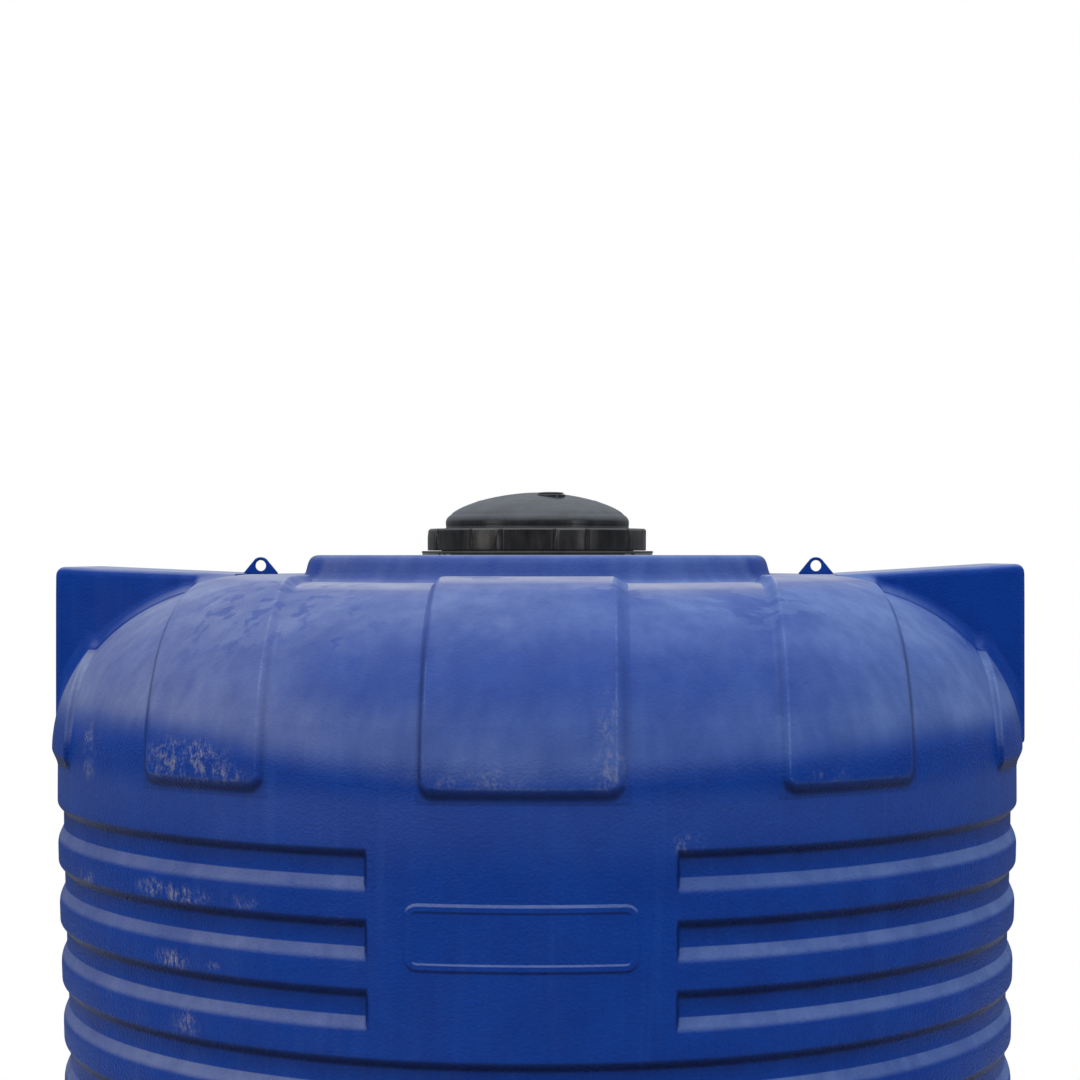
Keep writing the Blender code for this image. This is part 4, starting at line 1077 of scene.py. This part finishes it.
place(turn("bulkhead_body", [(0.0260, 1.095), (0.0325, 1.095), (0.0330, 1.097)] + [(0.0324 + 0.0006 * (k % 2), 1.099 + 0.0020 * k) for k in range(22)] + [(0.0330, face + 0.0036), (0.0610, face + 0.0036), (0.0620, face + 0.0050), (0.0620, face + 0.0130), (0.0600, face + 0.0150), (0.0330, face + 0.0150), (0.0330, 1.2295), (0.0260, 1.2295)], 96, 0.0008, 3, warp=six_lobes, matrix=LIE), "tank", M_GREY, "bulkhead_fitting")
place(turn("bulkhead_locknut", [(0.0334, 1.1180), (0.0510, 1.1180), (0.0531, 1.1200), (0.0531, 1.1370), (0.0510, 1.1393), (0.0334, 1.1393)], 120, 0.0006, 2, warp=hex_warp(0.0460, 0.045), matrix=LIE), "tank", M_GREY, "bulkhead_nut")


def octagon(r, z, a):
    if 1.2000 < z < 1.2225 and r > 0.0440:
        eighth = (a + math.pi / 8) % (math.pi / 4) - math.pi / 8
        return min(0.0430 / math.cos(eighth), r), z
    return r, z


body = turn("valve_housing", [(0.0334, 1.2000), (0.0450, 1.2000), (0.0460, 1.2010), (0.0460, 1.2200), (0.0430, 1.2240), (0.0430, 1.2300), (0.0485, 1.2500), (0.0500, 1.2650), (0.0500, 1.2930), (0.0460, 1.3000), (0.0460, 1.3220), (0.0390, 1.3220), (0.0390, 1.2355), (0.0255, 1.2355), (0.0255, 1.2298), (0.0334, 1.2298)], 120, 0.0022, 4, warp=octagon, matrix=LIE)
cut(body, turn("neck_tool", [(0, 0.030), (0.0190, 0.030), (0.0190, 0.0565), (0.0175, 0.0580), (0, 0.0580)], 72, 0.0006, 2, matrix=STAND), "UNION")
cut(body, turn("chamber_tool", [(0, 1.2356), (0.0390, 1.2356), (0.0390, 1.35), (0, 1.35)], 120, 0, 1, matrix=LIE))
cut(body, turn("stem_tool", [(0, 0.02), (0.0084, 0.02), (0.0084, 0.07), (0, 0.07)], 48, 0, 1, matrix=STAND))
place(body, "tank", M_GREY, "valve_body")
seat = [(0.0245, -0.0432), (0.0387, -0.0432), (0.0387, -0.0170), (0.0303, -0.0170), (0.0245, -0.0250)]
place(turn("seat_ring_inner", [(r, BALL_Y + s) for r, s in seat], 96, 0.0005, 2, matrix=LIE), "tank", M_WHITE, "valve_seat_inner")
place(turn("seat_ring_outer", [(r, BALL_Y - s - 0.0004) for r, s in seat], 96, 0.0005, 2, matrix=LIE), "tank", M_WHITE, "valve_seat_outer")
ball = turn("valve_ball_sphere", [(0, -0.0339)] + [(0.0339 * math.sin(t), -0.0339 * math.cos(t)) for t in (math.pi * i / 48 for i in range(1, 48))] + [(0, 0.0339)], 96, 0, 1, matrix=STAND)
cut(ball, turn("bb", [(0, -0.05), (0.0240, -0.05), (0.0240, 0.05), (0, 0.05)], 72, 0, 1, matrix=STAND @ Matrix.Rotation(math.radians(90), 4, "Y")))
bm = bmesh.new()
made = bmesh.ops.create_cube(bm, size=1.0)["verts"]
for v in made:
    v.co = Vector((v.co.x * 0.019, v.co.y * 0.0068, 0.0339 + v.co.z * 0.0122))
me = bpy.data.meshes.new("slot_tool")
bm.to_mesh(me)
bm.free()
me.transform(STAND)
slot_tool = bpy.data.objects.new("slot_tool", me)
scene.collection.objects.link(slot_tool)
cut(ball, slot_tool)
place(ball, "valve_core", M_STEEL, "valve_ball")
place(turn("gland", [(0.0085, 0.0583), (0.0150, 0.0583), (0.0160, 0.0590), (0.0160, 0.0632), (0.0152, 0.0640), (0.0085, 0.0640)], 72, 0.0004, 2, warp=hex_warp(0.0144, 0.0140), matrix=STAND), "tank", M_GREY, "stem_gland_nut")
dress(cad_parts["valve_stem"], M_STEEL)


def lever():
    hub = 0.0170
    pts = [(hub * math.cos(t), hub * math.sin(t)) for t in np.radians(np.linspace(35, 325, 32))]
    arm = rounded([pts[-1], (0.045, -0.0085), (0.125, -0.0125), (0.141, -0.009), (0.141, 0.009), (0.125, 0.0125), (0.045, 0.0085), pts[0]], [0, 0.02, 0.03, 0.008, 0.008, 0.03, 0.02, 0], seg=6)
    outline = pts + [tuple(p) for p in arm[1:-1]]
    bm = bmesh.new()
    low = [bm.verts.new((x, y, 0.0645)) for x, y in outline]
    high = [bm.verts.new((x, y, 0.0735)) for x, y in outline]
    bm.faces.new(low[::-1])
    topf = bm.faces.new(high)
    for i in range(len(outline)):
        j = (i + 1) % len(outline)
        bm.faces.new((low[i], low[j], high[j], high[i]))
    bmesh.ops.recalc_face_normals(bm, faces=bm.faces)
    rim = [e for e in bm.edges if abs(e.verts[0].co.z - e.verts[1].co.z) < 1e-6]
    bmesh.ops.bevel(bm, geom=rim, offset=0.0014, segments=3, profile=0.5, affect="EDGES")
    me = bpy.data.meshes.new("lever_arm")
    bm.to_mesh(me)
    bm.free()
    me.transform(STAND)
    me.shade_smooth()
    me.set_sharp_from_angle(angle=math.radians(40))
    ob = bpy.data.objects.new("lever_arm", me)
    scene.collection.objects.link(ob)
    cut(ob, turn("hub_tool", [(0, 0.05), (0.0083, 0.05), (0.0083, 0.09), (0, 0.09)], 48, 0, 1, matrix=STAND))
    # finger grooves under the grip
    for k in range(4):
        g = turn("rib_tool", [(0, -0.02), (0.0022, -0.02), (0.0022, 0.02), (0, 0.02)], 24, 0, 1, matrix=STAND @ Matrix.Translation((0.092 + 0.010 * k, 0, 0.0742)) @ Matrix.Rotation(math.radians(90), 4, "X"))
        cut(ob, g)
    return ob


place(lever(), "valve_core", M_RED, "valve_handle")
place(turn("lever_screw", [(0, 0.0748), (0.0120, 0.0748), (0.0125, 0.0760), (0.0110, 0.0800), (0.0040, 0.0800), (0.0036, 0.0780), (0, 0.0780)], 64, 0.0005, 2, matrix=STAND), "valve_core", M_STEEL, "handle_screw")


def tail_warp(r, z, a):
    if abs(r - 0.0296) < 0.0002 and 1.333 < z < 1.3735:
        return threads(r - 0.0006, z, a, 1.336, 1.3735, 0.0040, 0.0012), z
    return r, z


tail_prof = [(0.0240, 1.3223), (0.0455, 1.3223), (0.0455, 1.3285), (0.0300, 1.3285), (0.0300, 1.3345), (0.0296, 1.3350)] + [(0.0296, 1.3355 + 0.0006 * k) for k in range(64)] + [(0.0285, 1.3748), (0.0240, 1.3748)]
place(turn("tail_pipe", tail_prof, 96, 0.0003, 2, warp=tail_warp, matrix=LIE), "tank", M_GREY, "valve_tail")


def nut_warp(r, z, a):
    if r > 0.050:
        r += 0.0022 * math.cos(8 * a) - 0.0004 * (1 - abs(math.cos(4 * a)))
    return r, z


place(turn("union_ring", [(0.0463, 1.3010), (0.0530, 1.3010), (0.0540, 1.3030), (0.0540, 1.3320), (0.0520, 1.3345), (0.0303, 1.3345), (0.0303, 1.3288), (0.0463, 1.3288)], 192, 0.0012, 3, warp=nut_warp, matrix=LIE), "tank", M_RING, "union_nut")

# ----------------------------------------------------------- floor and lights
floor_me = bpy.data.meshes.new("floor")
floor_me.from_pydata([(-9.6, -9.6, 0), (9.6, -9.6, 0), (9.6, 9.6, 0), (-9.6, 9.6, 0)], [], [(0, 1, 2, 3)])
floor = bpy.data.objects.new("floor", floor_me)
scene.collection.objects.link(floor)
ft = Tree("pale_floor")
ft.put(ft.p.inputs["Base Color"], ft.mix(ft.noise(1.5, 3.0, 0.5), (0.60, 0.60, 0.60, 1), (0.66, 0.66, 0.66, 1)))
ft.p.inputs["Roughness"].default_value = 0.8
floor_me.materials.append(ft.mat)

SKY_LOW, SKY_HIGH = 0.15, 1.38
world = bpy.data.worlds.new("studio")
scene.world = world
world.use_nodes = True
wt = world.node_tree
bg = wt.nodes["Background"]
bg.inputs["Color"].default_value = (0.88, 0.95, 1.0, 1)
# a soft dome of light: bright overhead, dim at the horizon and below it
wc = wt.nodes.new("ShaderNodeTexCoord")
wx = wt.nodes.new("ShaderNodeSeparateXYZ")
wt.links.new(wc.outputs["Generated"], wx.inputs[0])
wm = wt.nodes.new("ShaderNodeMapRange")
wt.links.new(wx.outputs[2], wm.inputs[0])
wm.inputs[1].default_value, wm.inputs[2].default_value = -0.05, 0.95
wm.inputs[3].default_value, wm.inputs[4].default_value = SKY_LOW, SKY_HIGH
wt.links.new(wm.outputs[0], bg.inputs["Strength"])
seen = wt.nodes.new("ShaderNodeBackground")
seen.inputs["Color"].default_value = (1, 1, 1, 1)
seen.inputs["Strength"].default_value = 1.0
path = wt.nodes.new("ShaderNodeLightPath")
mixw = wt.nodes.new("ShaderNodeMixShader")
wt.links.new(path.outputs["Is Camera Ray"], mixw.inputs[0])
wt.links.new(bg.outputs[0], mixw.inputs[1])
wt.links.new(seen.outputs[0], mixw.inputs[2])
wt.links.new(mixw.outputs[0], wt.nodes["World Output"].inputs["Surface"])


def area(name, at, aim, size, power, colour=(1, 1, 1)):
    light = bpy.data.lights.new(name, "AREA")
    light.shape = "RECTANGLE"
    light.size, light.size_y = size
    light.energy = power
    light.color = colour
    ob = bpy.data.objects.new(name, light)
    scene.collection.objects.link(ob)
    ob.location = at
    ob.rotation_euler = (Vector(aim) - Vector(at)).to_track_quat("-Z", "Y").to_euler()
    return ob


area("overhead", (0.0, -1.5, 8.5), (0, 0, 3.0), (6, 6), 60)
area("front_key", (-3.0, -8.0, 7.0), (0, 0, 3.0), (5, 4), 40)
area("side_box_left", (-7.0, -5.0, 4.0), (0, 0, 3.6), (1.6, 3.0), 45, (1.0, 0.93, 0.86))
area("side_box_right", (7.5, -6.0, 4.0), (0, 0, 3.6), (1.6, 3.0), 45, (0.96, 0.97, 1.0))

# -------------------------------------------------------------------- camera
cam_data = bpy.data.cameras.new("camera")
cam = bpy.data.objects.new("camera", cam_data)
scene.collection.objects.link(cam)
cam_data.sensor_width = 36.0
cam_data.lens = 2266.5 / 1080 * 36.0
cam_data.shift_x = 2.6 / 1080
cam_data.shift_y = 15.0 / 1080
az = math.radians(1.6)
dist = 4.772 * R
cam.location = (dist * math.sin(az), -dist * math.cos(az), H)
cam.rotation_euler = (math.radians(90), 0, az)
cam_data.clip_end = 200
scene.camera = cam
scene.view_settings.view_transform = "Standard"
